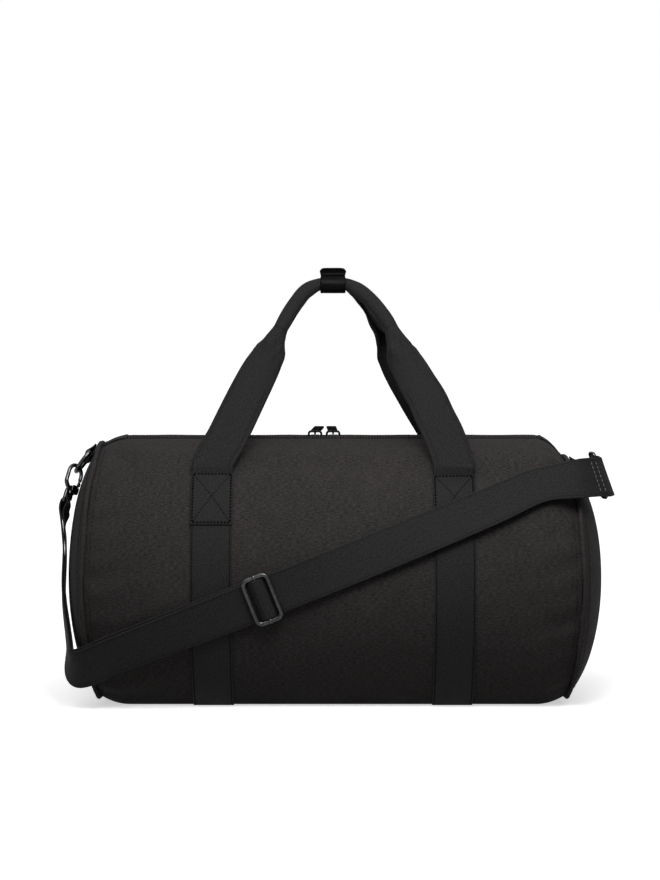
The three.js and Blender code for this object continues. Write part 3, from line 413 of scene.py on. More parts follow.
    def make(self, name: str, finishes: "list[Finish]", body: str | None, *nodes: str) -> bpy.types.Object:
        """Puts the piece into the scene.

        Args:
            name: The piece's name.
            finishes: Its finishes, in the order of their numbers.
            body: The body it rides on, or None, which leaves it on no body.
            nodes: The frame's nodes that it stands for.

        Returns:
            The piece's object, whose place is in its mesh.
        """
        corners, quads = np.vstack(self.corners) * METRES, np.vstack(self.quads)
        mesh = bpy.data.meshes.new(name)
        for finish in finishes:
            mesh.materials.append(finish.material())
        mesh.vertices.add(len(corners))
        mesh.vertices.foreach_set("co", corners.astype(np.float32).ravel())
        mesh.loops.add(quads.size)
        mesh.loops.foreach_set("vertex_index", quads.astype(np.int32).ravel())
        mesh.polygons.add(len(quads))
        mesh.polygons.foreach_set("loop_start", np.arange(0, quads.size, 4, dtype=np.int32))
        mesh.polygons.foreach_set("material_index", np.concatenate(self.finish))
        mesh.polygons.foreach_set("use_smooth", np.concatenate(self.round))
        layer = mesh.uv_layers.new(name="UVMap")
        layer.data.foreach_set("uv", (np.vstack(self.uvs) * METRES).astype(np.float32).ravel())
        mesh.update(calc_edges=True)
        mesh.validate()
        piece = bpy.data.objects.new(name, mesh)
        bpy.context.collection.objects.link(piece)
        if body:
            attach(piece, body)
        if nodes:
            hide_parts(*nodes)
        LOG.info("%s: %d corners, stands for %s", name, len(corners), ", ".join(nodes) or "nothing")
        return piece


# ---------------------------------------------------------------- effects shared by the finishes


class Effect(Enum):
    """The shader groups that finishes share."""

    WEAVE = "woven threads"
    CLOUDS = "uneven wear and dust"
    GRAIN = "leather grain"


class Nodes:
    """A small hand for building node trees."""

    def __init__(self, tree: bpy.types.NodeTree) -> None:
        """Keeps the tree that nodes are added to."""
        self.tree = tree

    def add(self, kind: str, **values: object) -> Node:
        """Adds a node of a kind and sets its plain properties."""
        node = self.tree.nodes.new(kind)
        for name, value in values.items():
            setattr(node, name, value)
        return node

    def link(self, source: Socket, target: Socket) -> None:
        """Joins an output to an input."""
        self.tree.links.new(source, target)

    def math(self, operation: str, *inputs: object, clamp: bool = False) -> Socket:
        """Adds a Math node, fed by sockets or plain numbers, and returns its output."""
        node = self.add("ShaderNodeMath", operation=operation, use_clamp=clamp)
        for socket, value in zip(node.inputs, inputs):
            if isinstance(value, Socket):
                self.link(value, socket)
            else:
                socket.default_value = value
        return node.outputs[0]

    def noise(self, vector: Socket, scale: object, detail: float = 2.0,
              roughness: float = 0.5) -> Socket:
        """Adds a Noise Texture at a scale, a socket or a plain number, and returns its Fac."""
        node = self.add("ShaderNodeTexNoise")
        self.link(vector, node.inputs["Vector"])
        if isinstance(scale, Socket):
            self.link(scale, node.inputs["Scale"])
        else:
            node.inputs["Scale"].default_value = scale
        node.inputs["Detail"].default_value = detail
        node.inputs["Roughness"].default_value = roughness
        return node.outputs["Fac"]

    def stretch(self, value: Socket, low: float, high: float) -> Socket:
        """Adds a Map Range that takes low to 0 and high to 1, and stops there."""
        node = self.add("ShaderNodeMapRange")
        node.inputs["From Min"].default_value = low
        node.inputs["From Max"].default_value = high
        self.link(value, node.inputs["Value"])
        return node.outputs["Result"]


def group_tree(effect: Effect, inputs: dict[str, tuple[str, object]], outputs: dict[str, str]) -> tuple:
    """Starts a shader group.

    Args:
        effect: Which effect it is, which names it.
        inputs: Socket names with their kinds and starting values.
        outputs: Socket names with their kinds.

    Returns:
        The group, its node hand, its inner input node and its inner output node.
    """
    tree = bpy.data.node_groups.new(effect.value, "ShaderNodeTree")
    for name, (kind, value) in inputs.items():
        socket = tree.interface.new_socket(name=name, in_out="INPUT", socket_type=kind)
        if value is not None:
            socket.default_value = value
    for name, kind in outputs.items():
        tree.interface.new_socket(name=name, in_out="OUTPUT", socket_type=kind)
    hand = Nodes(tree)
    return tree, hand, hand.add("NodeGroupInput"), hand.add("NodeGroupOutput")


def weave_group() -> bpy.types.NodeTree:
    """Builds plain weave: round threads that pass over and under each other like a checkerboard.

    Along each axis a thread is the size of a sine of the place over the pitch. A checkerboard of the two
    floors picks which set of threads is on top. Fleck is fine noise that gives single threads their shade,
    mixed with noise drawn out across the cloth by Slub, which gives runs of thicker thread.
    """
    tree, n, inner, outer = group_tree(
        Effect.WEAVE,
        {"Vector": ("NodeSocketVector", None), "Along": ("NodeSocketFloat", 0.0008),
         "Across": ("NodeSocketFloat", 0.0008), "Slub": ("NodeSocketFloat", 5.0)},
        {"Height": "NodeSocketFloat", "Fleck": "NodeSocketFloat"})
    split = n.add("ShaderNodeSeparateXYZ")
    n.link(inner.outputs["Vector"], split.inputs[0])
    u = n.math("DIVIDE", split.outputs["X"], inner.outputs["Along"])
    v = n.math("DIVIDE", split.outputs["Y"], inner.outputs["Across"])
    warp = n.math("ABSOLUTE", n.math("SINE", n.math("MULTIPLY", u, math.pi)))
    weft = n.math("ABSOLUTE", n.math("SINE", n.math("MULTIPLY", v, math.pi)))
    checker = n.math("FLOORED_MODULO", n.math("ADD", n.math("FLOOR", u), n.math("FLOOR", v)), 2.0)
    over = n.math("MULTIPLY", warp, checker)
    under = n.math("MULTIPLY", weft, n.math("SUBTRACT", 1.0, checker))
    n.link(n.math("ADD", over, under), outer.inputs["Height"])
    noises = []
    for fine, stretch in ((0.9, 1.0), (0.75, inner.outputs["Slub"])):
        cell = n.add("ShaderNodeCombineXYZ")
        n.link(n.math("MULTIPLY", u, fine), cell.inputs[0])
        n.link(n.math("DIVIDE", n.math("MULTIPLY", v, fine), stretch), cell.inputs[1])
        noises.append(n.noise(cell.outputs[0], 1.0, roughness=0.65))
    n.link(n.stretch(n.math("ADD", *noises), 0.74, 1.26), outer.inputs["Fleck"])
    return tree


def clouds_group() -> bpy.types.NodeTree:
    """Builds a soft uneven mask: two noises of different sizes, multiplied and stretched to reach 0 and 1."""
    tree, n, inner, outer = group_tree(
        Effect.CLOUDS,
        {"Vector": ("NodeSocketVector", None), "Scale": ("NodeSocketFloat", 20.0)},
        {"Mask": "NodeSocketFloat"})
    noises = [n.noise(inner.outputs["Vector"], n.math("MULTIPLY", inner.outputs["Scale"], size), detail=4.0)
              for size in (1.0, 5.3)]
    n.link(n.stretch(n.math("MULTIPLY", *noises), 0.14, 0.38), outer.inputs["Mask"])
    return tree


def grain_group() -> bpy.types.NodeTree:
    """Builds leather grain: small pebbles, the distance to the nearest crease, softened by fine noise."""
    tree, n, inner, outer = group_tree(
        Effect.GRAIN,
        {"Vector": ("NodeSocketVector", None), "Scale": ("NodeSocketFloat", 900.0)},
        {"Height": "NodeSocketFloat"})
    pebble = n.add("ShaderNodeTexVoronoi", feature="DISTANCE_TO_EDGE")
    n.link(inner.outputs["Vector"], pebble.inputs["Vector"])
    n.link(inner.outputs["Scale"], pebble.inputs["Scale"])
    noise = n.noise(inner.outputs["Vector"], inner.outputs["Scale"])
    soft = n.math("SMOOTH_MIN", pebble.outputs["Distance"], 0.22, 0.1)
    n.link(n.math("ADD", soft, n.math("MULTIPLY", noise, 0.12)), outer.inputs["Height"])
    return tree


BUILDERS = {Effect.WEAVE: weave_group, Effect.CLOUDS: clouds_group, Effect.GRAIN: grain_group}


def effect_node(hand: Nodes, effect: Effect, vector: Socket, **values: float) -> Node:
    """Places a shared effect in a material, building its group the first time, and sets its inputs."""
    tree = bpy.data.node_groups.get(effect.value) or BUILDERS[effect]()
    node = hand.add("ShaderNodeGroup", node_tree=tree)
    hand.link(vector, node.inputs["Vector"])
    for name, value in values.items():
        node.inputs[name.title()].default_value = value
    return node


# ---------------------------------------------------------------- finishes

Colour = tuple[float, float, float]
THREAD_RELIEF = 0.0004
GRAIN_RELIEF = 0.0004
PLATING_RELIEF = 0.00006
PLAIN_RELIEF = 0.0002
CLOTH_SPECULAR = 0.12
DULL_SPECULAR = 0.05


@dataclass(frozen=True)
class Finish:
    """What every finish has: its name, its slot in the record, its two shades and its roughness."""

    name: str
    slot: str
    dark: Colour
    light: Colour
    roughness: float = 0.8
    bump: float = 0.25

    def material(self) -> bpy.types.Material:
        """Returns the finish's material, made once."""
        found = bpy.data.materials.get(f"duffel_{self.name}")
        if found:
            return found
        made = bpy.data.materials.new(f"duffel_{self.name}")
        made.use_nodes = True
        hand = Nodes(made.node_tree)
        self.dress(hand, made.node_tree.nodes["Principled BSDF"], hand.add("ShaderNodeTexCoord"))
        return made

    def dress(self, hand: Nodes, shader: Node, place: Node) -> None:
        """Wires the finish to a Texture Coordinate node; each kind does this its own way."""
        raise NotImplementedError

    def shade(self, hand: Nodes, shader: Node, share: Socket) -> None:
        """Sets Base Color to run from the dark shade to the light one with a share."""
        blend = hand.add("ShaderNodeMix", data_type="RGBA")
        blend.inputs["A"].default_value = (*self.dark, 1.0)
        blend.inputs["B"].default_value = (*self.light, 1.0)
        hand.link(share, blend.inputs["Factor"])
        hand.link(blend.outputs["Result"], shader.inputs["Base Color"])

    def rough(self, hand: Nodes, shader: Node, share: Socket, spread: float) -> None:
        """Lets Roughness run by a spread round its middle value."""
        low = self.roughness - spread / 2
        hand.link(hand.math("MULTIPLY_ADD", share, spread, low), shader.inputs["Roughness"])

    def relief(self, hand: Nodes, shader: Node, height: Socket, depth: float) -> None:
        """Feeds a height through a Bump node to Normal."""
        bump = hand.add("ShaderNodeBump")
        bump.inputs["Strength"].default_value = self.bump
        bump.inputs["Distance"].default_value = depth
        hand.link(height, bump.inputs["Height"])
        hand.link(bump.outputs["Normal"], shader.inputs["Normal"])


@dataclass(frozen=True)
class Cloth(Finish):
    """Woven cloth: threads in the relief and, as painted shade in the gaps between them, in the colour; flecks
    and slow clouds in the colour; and a soft sheen.
    """

    along: float = 0.0009
    across: float = 0.0009
    sheen: float = 0.15
    clouds: float = 14.0
    slub: float = 3.0
    fleck_share: float = 0.7
    cloud_share: float = 0.16
    painted_gap_shade_share: float = 0.14

    def dress(self, hand: Nodes, shader: Node, place: Node) -> None:
        """Wires the weave on the piece's own pattern coordinates and the clouds on its place."""
        weave = effect_node(hand, Effect.WEAVE, place.outputs["UV"], along=self.along, across=self.across,
                            slub=self.slub)
        clouds = effect_node(hand, Effect.CLOUDS, place.outputs["Object"], scale=self.clouds)
        fleck = hand.math("MULTIPLY", weave.outputs["Fleck"], self.fleck_share)
        cloud = hand.math("MULTIPLY", clouds.outputs["Mask"], self.cloud_share)
        # painted shade: the weave's height darkens the colour in the gaps between threads and lightens the
        # threads' crowns
        thread = hand.math("MULTIPLY", weave.outputs["Height"], self.painted_gap_shade_share)
        self.shade(hand, shader, hand.math("ADD", hand.math("ADD", fleck, cloud), thread, clamp=True))
        self.rough(hand, shader, clouds.outputs["Mask"], 0.12)
        height = hand.math("ADD", weave.outputs["Height"], hand.math("MULTIPLY", weave.outputs["Fleck"], 0.5))
        self.relief(hand, shader, height, THREAD_RELIEF)
        shader.inputs["Specular IOR Level"].default_value = CLOTH_SPECULAR
        shader.inputs["Sheen Weight"].default_value = self.sheen
        shader.inputs["Sheen Roughness"].default_value = 0.45


@dataclass(frozen=True)
class Leather(Finish):
    """Smooth leather: fine grain, a little unevenness in its gloss."""

    def dress(self, hand: Nodes, shader: Node, place: Node) -> None:
        """Wires the grain and the clouds on the piece's place."""
        grain = effect_node(hand, Effect.GRAIN, place.outputs["Object"], scale=950.0)
        clouds = effect_node(hand, Effect.CLOUDS, place.outputs["Object"], scale=70.0)
        self.shade(hand, shader, clouds.outputs["Mask"])
        self.rough(hand, shader, clouds.outputs["Mask"], 0.14)
        self.relief(hand, shader, grain.outputs["Height"], GRAIN_RELIEF)
        shader.inputs["Specular IOR Level"].default_value = DULL_SPECULAR


@dataclass(frozen=True)
class Metal(Finish):
    """Plated metal: fine handling marks in its gloss and a faint orange-peel relief.

    Edge is how much of the light its plating gives back at a glancing view.
    """

    edge: float = 1.0

    def dress(self, hand: Nodes, shader: Node, place: Node) -> None:
        """Wires two sizes of clouds: broad ones for the shade and fine ones for the gloss."""
        broad = effect_node(hand, Effect.CLOUDS, place.outputs["Object"], scale=55.0)
        fine = effect_node(hand, Effect.CLOUDS, place.outputs["Object"], scale=420.0)
        self.shade(hand, shader, broad.outputs["Mask"])
        self.rough(hand, shader, fine.outputs["Mask"], 0.16)
        self.relief(hand, shader, fine.outputs["Mask"], PLATING_RELIEF)
        shader.inputs["Metallic"].default_value = 1.0
        shader.inputs["Specular Tint"].default_value = (self.edge, self.edge, self.edge, 1.0)


@dataclass(frozen=True)
class Plain(Finish):
    """Thread, nylon and board: one material with mottled shade and a fine relief."""

    scale: float = 600.0

    def dress(self, hand: Nodes, shader: Node, place: Node) -> None:
        """Wires clouds of one size into the shade, the gloss and the relief."""
        clouds = effect_node(hand, Effect.CLOUDS, place.outputs["Object"], scale=self.scale)
        self.shade(hand, shader, clouds.outputs["Mask"])
        self.rough(hand, shader, clouds.outputs["Mask"], 0.1)
        self.relief(hand, shader, clouds.outputs["Mask"], PLAIN_RELIEF)
        shader.inputs["Specular IOR Level"].default_value = DULL_SPECULAR


CANVAS = Cloth("canvas", "canvas", (0.0007, 0.0005, 0.0005), (0.0425, 0.038, 0.037), 0.86, 0.4,
               along=0.0009, across=0.0010, sheen=0.008)
TRIM = Cloth("seam_canvas", "canvas", (0.001, 0.0008, 0.0008), (0.042, 0.0375, 0.0365), 0.84, 0.4,
             along=0.0009, across=0.0009, sheen=0.008)
WEBBING = Cloth("webbing", "webbing", (0.0012, 0.0012, 0.0012), (0.0225, 0.0225, 0.0225), 0.7, 0.45,
                along=0.0011, across=0.0008, sheen=0.006, clouds=22.0, slub=2.0)
LINING = Cloth("lining", "lining", (0.018, 0.018, 0.020), (0.04, 0.04, 0.043), 0.8, 0.2,
               along=0.0005, across=0.0005)
LEATHER = Leather("leather", "leather", (0.0005, 0.0005, 0.0005), (0.002, 0.002, 0.002), 0.42, 0.3)
GUNMETAL = Metal("gunmetal", "gunmetal", (0.045, 0.047, 0.05), (0.11, 0.113, 0.118), 0.24, 0.2)
SATIN = Metal("satin_gunmetal", "gunmetal", (0.048, 0.048, 0.048), (0.085, 0.085, 0.087), 0.28, 0.2)
BLACKENED = Metal("blackened_gunmetal", "gunmetal", (0.006, 0.006, 0.0062), (0.02, 0.02, 0.021), 0.3, 0.2,
                  edge=0.12)
NYLON = Plain("nylon", "nylon", (0.008, 0.008, 0.009), (0.022, 0.022, 0.024), 0.5, 0.2)
# near-black stitch thread: partly the thread's own black, partly painted shade of the stitch holes
THREAD_AND_HOLE_SHADE = Plain("thread", "webbing", (0.0005, 0.0005, 0.0005), (0.002, 0.002, 0.002), 0.7, 0.3, scale=1500.0)
CORD = Plain("bright_thread", "webbing", (0.07, 0.07, 0.07), (0.15, 0.15, 0.15), 0.5, 0.3, scale=1500.0)
BOARD = Plain("board", "board", (0.035, 0.032, 0.028), (0.06, 0.056, 0.05), 0.85, 0.2, scale=90.0)


# ---------------------------------------------------------------- the bag's form


@dataclass(frozen=True)
class BarrelForm:
    """The bag's outside: an ellipse cut off level by the ground, closing a little towards each end seam.

    An angle on the section counts from the top towards the front; negative angles are the back, and past
    base_angle it runs along the flat base.
    """

    height: float = 250.0
    depth: float = 250.0
    base_width: float = 125.0
    seam_length: float = 458.0
    seam_pull_top: float = 9.0
    seam_pull_base: float = 13.0
    end_taper: float = 28.0
    end_drop: dict[str, float] = field(default_factory=lambda: {"left": 9.0, "right": 22.0})
    end_lift: float = 9.0
    end_tuck: float = 6.0
    end_bulge: dict[str, float] = field(default_factory=lambda: {"left": 24.0, "right": 28.0})
    wall: float = 3.0
    gap: float = 0.3

    @property
    def half_depth(self) -> float:
        """Half the bag's depth."""
        return self.depth / 2

    @property
    def base_angle(self) -> float:
        """The angle at which the round part meets the flat base."""
        return math.pi - math.asin(self.base_width / self.depth)

    @property
    def rise(self) -> float:
        """From the section's centre to its top."""
        return self.height / (1 - math.cos(self.base_angle))

    @property
    def centre_z(self) -> float:
        """The height of the section's centre."""
        return self.height - self.rise

    def turn(self, arc_length: float) -> float:
        """Returns the angle that a length round the section takes."""
        return arc_length / self.half_depth

    def section(self, angle: Array) -> tuple[Array, Array, Array, Array]:
        """Returns y, z, the angle's size and the side it is on, +1 for the back."""
        within = np.where(angle > np.pi, angle - 2 * np.pi, angle)
        size, side = np.abs(within), np.where(within < 0, 1.0, -1.0)
        flat = side * self.base_width * (np.pi - size) / (np.pi - self.base_angle) / 2
        round_y = side * self.half_depth * np.sin(size)
        on_round = size <= self.base_angle + 1e-9
        y = np.where(on_round, round_y, flat)
        z = np.where(on_round, self.centre_z + self.rise * np.cos(size), 0.0)
        return y, z, size, side

    def normal(self, angle: Array) -> Array:
        """Returns the way the section faces: out of the ellipse, turning to straight down on the base."""
        y, _, size, side = self.section(angle)
        corner = np.minimum(size, self.base_angle)
        zero = np.zeros_like(corner)
        out = unit(np.stack([zero, side * np.sin(corner) / self.half_depth, np.cos(corner) / self.rise], -1))
        inward = np.where(size > self.base_angle, self.base_width / 2 - np.abs(y), 0.0)
        share = np.clip(inward / 6.0, 0, 1)[..., None]
        return unit(out * (1 - share) - UP * share)

    def seam_x(self, angle: Array) -> Array:
        """Returns how far each end seam is from the middle: it is pulled in at the top and at the base."""
        level = np.cos(angle)
        return self.seam_length / 2 - np.where(level > 0, self.seam_pull_top, self.seam_pull_base) * level**2

    def closing(self, x: Array, angle: Array) -> Array:
        """Returns how much the section has closed at a place, as a share of its size."""
        level = np.cos(angle)
        along = np.clip((np.abs(x) - self.seam_x(angle) + self.end_taper) / self.end_taper, 0, 1)
        drop = np.where(x < 0, self.end_drop["left"], self.end_drop["right"])
        upright = np.where(level > 0, drop / self.rise, self.end_lift / self.centre_z)
        return 1 - along**2 * mix(self.end_tuck / self.half_depth, upright, level**2)

    def slack(self, x: Array, angle: Array) -> Array:
        """Returns how far the slack cloth stands off the plain form.

        A shelf and a dip run along under the zip, slow waves cross the front and back, folds fan out from
        the end seams, and it all fades at the seams, the zip and the base.
        """
        _, _, s, side = self.section(angle)
        reach = self.seam_x(angle) - np.abs(x)
        shelf = 1.5 * bell(s, 0.46, 0.085) * (0.7 + 0.3 * np.sin(x / 41 + 1.0 + side))
        dip = -2.6 * bell(s, 0.67 + 0.05 * np.sin(x / 58 + side), 0.1) * (0.6 + 0.4 * np.sin(x / 73 + 0.4))
        waves = 1.3 * ripple(x / 38 + 1.7 * np.sin(2.3 * s + side), x / 79 - 3.4 * s + 0.8, 4.1 * s + x / 140)
        folds = ripple(17 * s + 0.03 * x + side, 31 * s + 0.7 + 0.05 * x) * np.exp(-np.maximum(reach, 0) / 24)
        low = -1.2 * bell(s, 2.15, 0.16) * (0.5 + 0.5 * np.sin(x / 33 - 0.6))
        left_fold = -5.0 * bell(x, -196, 13) * bell(s, 0.5, 0.13) + 2.0 * bell(x, -176, 12) * bell(s, 0.56, 0.2)
        right_fold = -2.4 * bell(x - 26 * (s - 1.9), 205, 6) * bell(s, 1.9, 0.35)
        fade = (1 - np.exp(-np.maximum(reach, 0) / 6)) * ease(s, 0.3, 0.45) * (1 - ease(s, 2.35, 2.58))
        total = shelf + dip + waves * bell(s, 1.35, 0.62) + 2.0 * folds + low + left_fold + right_fold
        return np.clip(1.3 * total * fade, -5.5, 1.1 + 0.5 * bell(s, 0.46, 0.1))

    def at(self, x: Array, angle: Array, lift: Array | float) -> Array:
        """Returns points at places along the bag, angles and heights off the slack cloth."""
        x, angle, lift = np.broadcast_arrays(*(np.asarray(v, float) for v in (x, angle, lift)))
        y, z, _, _ = self.section(angle)
        scale = self.closing(x, angle)
        base = np.stack([x, y * scale, self.centre_z + (z - self.centre_z) * scale], -1)
        return base + self.normal(angle) * (lift + self.slack(x, angle))[..., None]

    def end_reach(self, side: str, angle: Array, share: Array) -> Array:
        """Returns how far out an end panel is, at an angle and a share of the way from centre to rim."""
        middle = self.seam_length / 2 - (self.seam_pull_top + self.seam_pull_base) / 4
        rim = mix(middle, self.seam_x(angle), np.minimum(1, share**2))
        return rim + self.gap + self.wall + self.end_bulge[side] * (1 - np.minimum(1, np.abs(share) ** 3))

    def end_x(self, side: str, y: Array, z: Array) -> Array:
        """Returns the x of an end panel's outside over a place in the section."""
        sign = SIDE_SIGN[side]
        angle = np.arctan2(-y / self.half_depth, (z - self.centre_z) / self.rise)
        edge = self.closing(np.asarray(sign * self.seam_length), angle)
        radial = np.hypot(y / self.half_depth, (z - self.centre_z) / self.rise) / edge
        flat = (self.centre_z - z) / (self.centre_z * edge)
        return sign * self.end_reach(side, angle, np.maximum(radial, flat))

    def end_normal(self, side: str, y: float, z: float) -> Array:
        """Returns the way an end panel faces, from its slopes over 2 mm steps."""
        slope_y = (self.end_x(side, y + 2, z) - self.end_x(side, y - 2, z)) / 4
        slope_z = (self.end_x(side, y, z + 2) - self.end_x(side, y, z - 2)) / 4
        return unit(np.array([1.0, -float(slope_y), -float(slope_z)])) * SIDE_SIGN[side]

    def off_end(self, side: str, y: float, z: float, lift: float) -> Array:
        """Returns a point at a height off an end panel."""
        point = np.array([float(self.end_x(side, np.asarray(y), np.asarray(z))), y, z])
        return point + self.end_normal(side, y, z) * lift


FORM = BarrelForm()
GUSSET_HALF_WIDTH = 20.0


def sew_on_form(work: Work, x: Array | float, angle: Array, lift: float, seam: Seam) -> None:
    """Sews a row of stitches on the shell, along places and angles at a height off the cloth."""
    work.stitches(FORM.at(x, angle, lift), FORM.normal(angle), seam)


@dataclass
class Shell:
    """The canvas: front, back and base panels, two end panels, the piping and what is inside."""

    rows: int = 90
    columns: int = 190
    piping_radius: float = 2.2
    piping_gap: float = 0.6
    seam_inset: float = 5.5
    end_seam_share: float = 0.945

    def panel(self, work: Work, start: float, end: float, rows: int, under: float, over: float) -> None:
        """Skins a panel between its two end seams.

        Each ring is one line along the bag: out along the outside and back along the inside.

        Args:
            work: The piece it goes into.
            start: The angle of its first edge.
            end: The angle of its other edge.
            rows: How many lines it has.
            under: Height of its inside off the form.
            over: Height of its outside.
        """
        angle = np.linspace(start, end, rows)[:, None]
        share = np.sin(np.linspace(-1, 1, self.columns) * np.pi / 2 * 0.93)
        share = share / share[-1]
        x = FORM.seam_x(angle) * share[None]
        lip = np.minimum(np.arange(rows), np.arange(rows)[::-1])[:, None] == 0
        outer = FORM.at(x, angle, over - 0.4 * lip)
        inner = FORM.at(x, angle, under + 0.4 * lip)
        work.loft(np.concatenate([outer, inner[:, ::-1]], axis=1))

    def side_panels(self) -> None:
        """Makes the front, back and base panels; the front and back are sewn along their end seams."""
        edge = FORM.turn(FORM.gap / 2)
        for face, sign in FACE_SIGN.items():
            work = Work()
            self.panel(work, sign * (FORM.turn(GUSSET_HALF_WIDTH) + edge),
                       sign * (FORM.base_angle - edge), self.rows, -FORM.wall, 0.0)
            turn = sign * np.linspace(0.3, FORM.base_angle - 0.04, 200)
            for way in SIDE_SIGN.values():
                sew_on_form(work, way * (FORM.seam_x(turn) - self.seam_inset), turn, 0.1, PANEL_SEAM)
            work.make(f"{face}_canvas", [CANVAS, THREAD_AND_HOLE_SHADE], "bag", f"{face}_panel")
        work = Work()
        self.panel(work, FORM.base_angle + edge, 2 * np.pi - FORM.base_angle - edge, 26, -FORM.wall, 0.0)
        work.make("base_canvas", [CANVAS], "bag", "base_panel")

    def end_panels(self) -> None:
        """Makes the domed end panels: rings from the pole to the rim outside, then back inside."""
        shares = np.concatenate([[0.02], np.linspace(0.05, 1, 34)])
        for side, sign in SIDE_SIGN.items():
            angle = np.linspace(-np.pi, np.pi, 160, endpoint=False)[None]
            rings = []
            for inset, order in ((0.0, 1), (FORM.wall, -1)):
                share = shares[::order][:, None]
                rim = self.rim(side, angle)
                y, z = rim[..., 0] * share, FORM.centre_z + (rim[..., 1] - FORM.centre_z) * share
                pucker = ripple(19 * angle + 0.5, 33 * angle, 7 * angle + sign)
                wave = (0.6 * pucker * share**4 * (1 - share**14)
                        - 1.6 * bell(share, 0.62, 0.2) * np.sin(angle) ** 2)
                sink = wave * (1 if inset == 0 else 0)
                x = sign * (FORM.end_reach(side, angle, share) - inset + sink)
                rings.append(np.stack([x, y, z], -1))
            work = Work()
            work.loft(np.concatenate(rings))
            self.end_stitching(work, side)
            work.make(f"{side}_end_canvas", [TRIM, THREAD_AND_HOLE_SHADE], "bag", f"{side}_end_panel")

    def rim(self, side: str, angle: Array) -> Array:
        """Returns the y and z of an end seam at angles, on the plain form."""
        y, z, _, _ = FORM.section(angle)
        scale = FORM.closing(np.asarray(SIDE_SIGN[side] * FORM.seam_length), angle)
        return np.stack([y * scale, FORM.centre_z + (z - FORM.centre_z) * scale], -1)

    def end_stitching(self, work: Work, side: str) -> None:
        """Sews a row of stitches round an end panel, inside its rim."""
        angle = np.linspace(-np.pi, np.pi, 300)
        share = self.end_seam_share
        rim = self.rim(side, angle)
        x = SIDE_SIGN[side] * (FORM.end_reach(side, angle, np.asarray(share)) + 0.15)
        line = np.stack([x, rim[:, 0] * share, FORM.centre_z + (rim[:, 1] - FORM.centre_z) * share], -1)
        out = unit(np.column_stack([np.full(len(line), SIDE_SIGN[side] * 2.0),
                                    unit(line[:, 1:] - [0, FORM.centre_z])]))
        work.stitches(line, out, PANEL_SEAM)

    def piping(self) -> None:
        """Makes the corded seams, round rods that lie over each end seam."""
        for side, sign in SIDE_SIGN.items():
            angle = np.linspace(-np.pi, np.pi, 220, endpoint=False)
            point = FORM.at(sign * FORM.seam_length, angle, self.piping_radius + self.piping_gap - 1.0)
            point[:, 0] = sign * (FORM.seam_x(angle) + FORM.gap + FORM.wall / 2 + 0.5 * np.sin(9 * angle))
            work = Work()
            radius = self.piping_radius * (1 + 0.05 * np.sin(angle * 61) + 0.05 * np.sin(angle * 23))
            work.tube(point, radius, ALONG_BAG, closed=True, sides=12)
            work.make(f"{side}_piping", [TRIM], "bag", f"{side}_end_piping")

    def inside(self, nodes: dict[str, bpy.types.Object]) -> None:
        """Gives the lining and the base board, which stay as they are, their finishes."""
        for name, finish in (("lining", LINING), ("base_board", BOARD)):
            nodes[name].data.materials.clear()
            nodes[name].data.materials.append(finish.material())
            LOG.info("%s keeps its shape, in %s", name, finish.name)

    def build(self, nodes: dict[str, bpy.types.Object]) -> None:
        """Makes every part of the shell."""
        self.side_panels()
        self.end_panels()
        self.piping()
        self.inside(nodes)


def strip_on_form(work: Work, x: float, start: float, end: float, width: float, middle: float, thickness: float,
                  steps: int, finish: int = 0, along_x: bool = False) -> None:
    """Lays a flat strip with rounded edges on the shell.

    Each ring is the strip's section, moved along x and off the cloth, at one angle; with along_x the strip
    runs along the bag and its section lies round it.

    Args:
        work: The piece it goes into.
        x: Its middle line's place, or the angle of that line with along_x.
        start: The angle where it starts, or the x.
        end: Where it ends.
        width: From edge to edge.
        middle: Height of its middle off the cloth.
        thickness: Between its faces.
        steps: How many rings it has.
        finish: The number of its finish.
        along_x: Whether it runs along the bag.
    """
    section = stadium(width, thickness)
    run = np.linspace(start, end, steps)[:, None]
    off, rise = section[None, :, 0], section[None, :, 1] + middle
    if along_x:
        work.loft(FORM.at(run, x + off / FORM.half_depth, rise), finish=finish)
        return
    work.loft(FORM.at(x + off, run, rise), finish=finish, uv_shift=x)


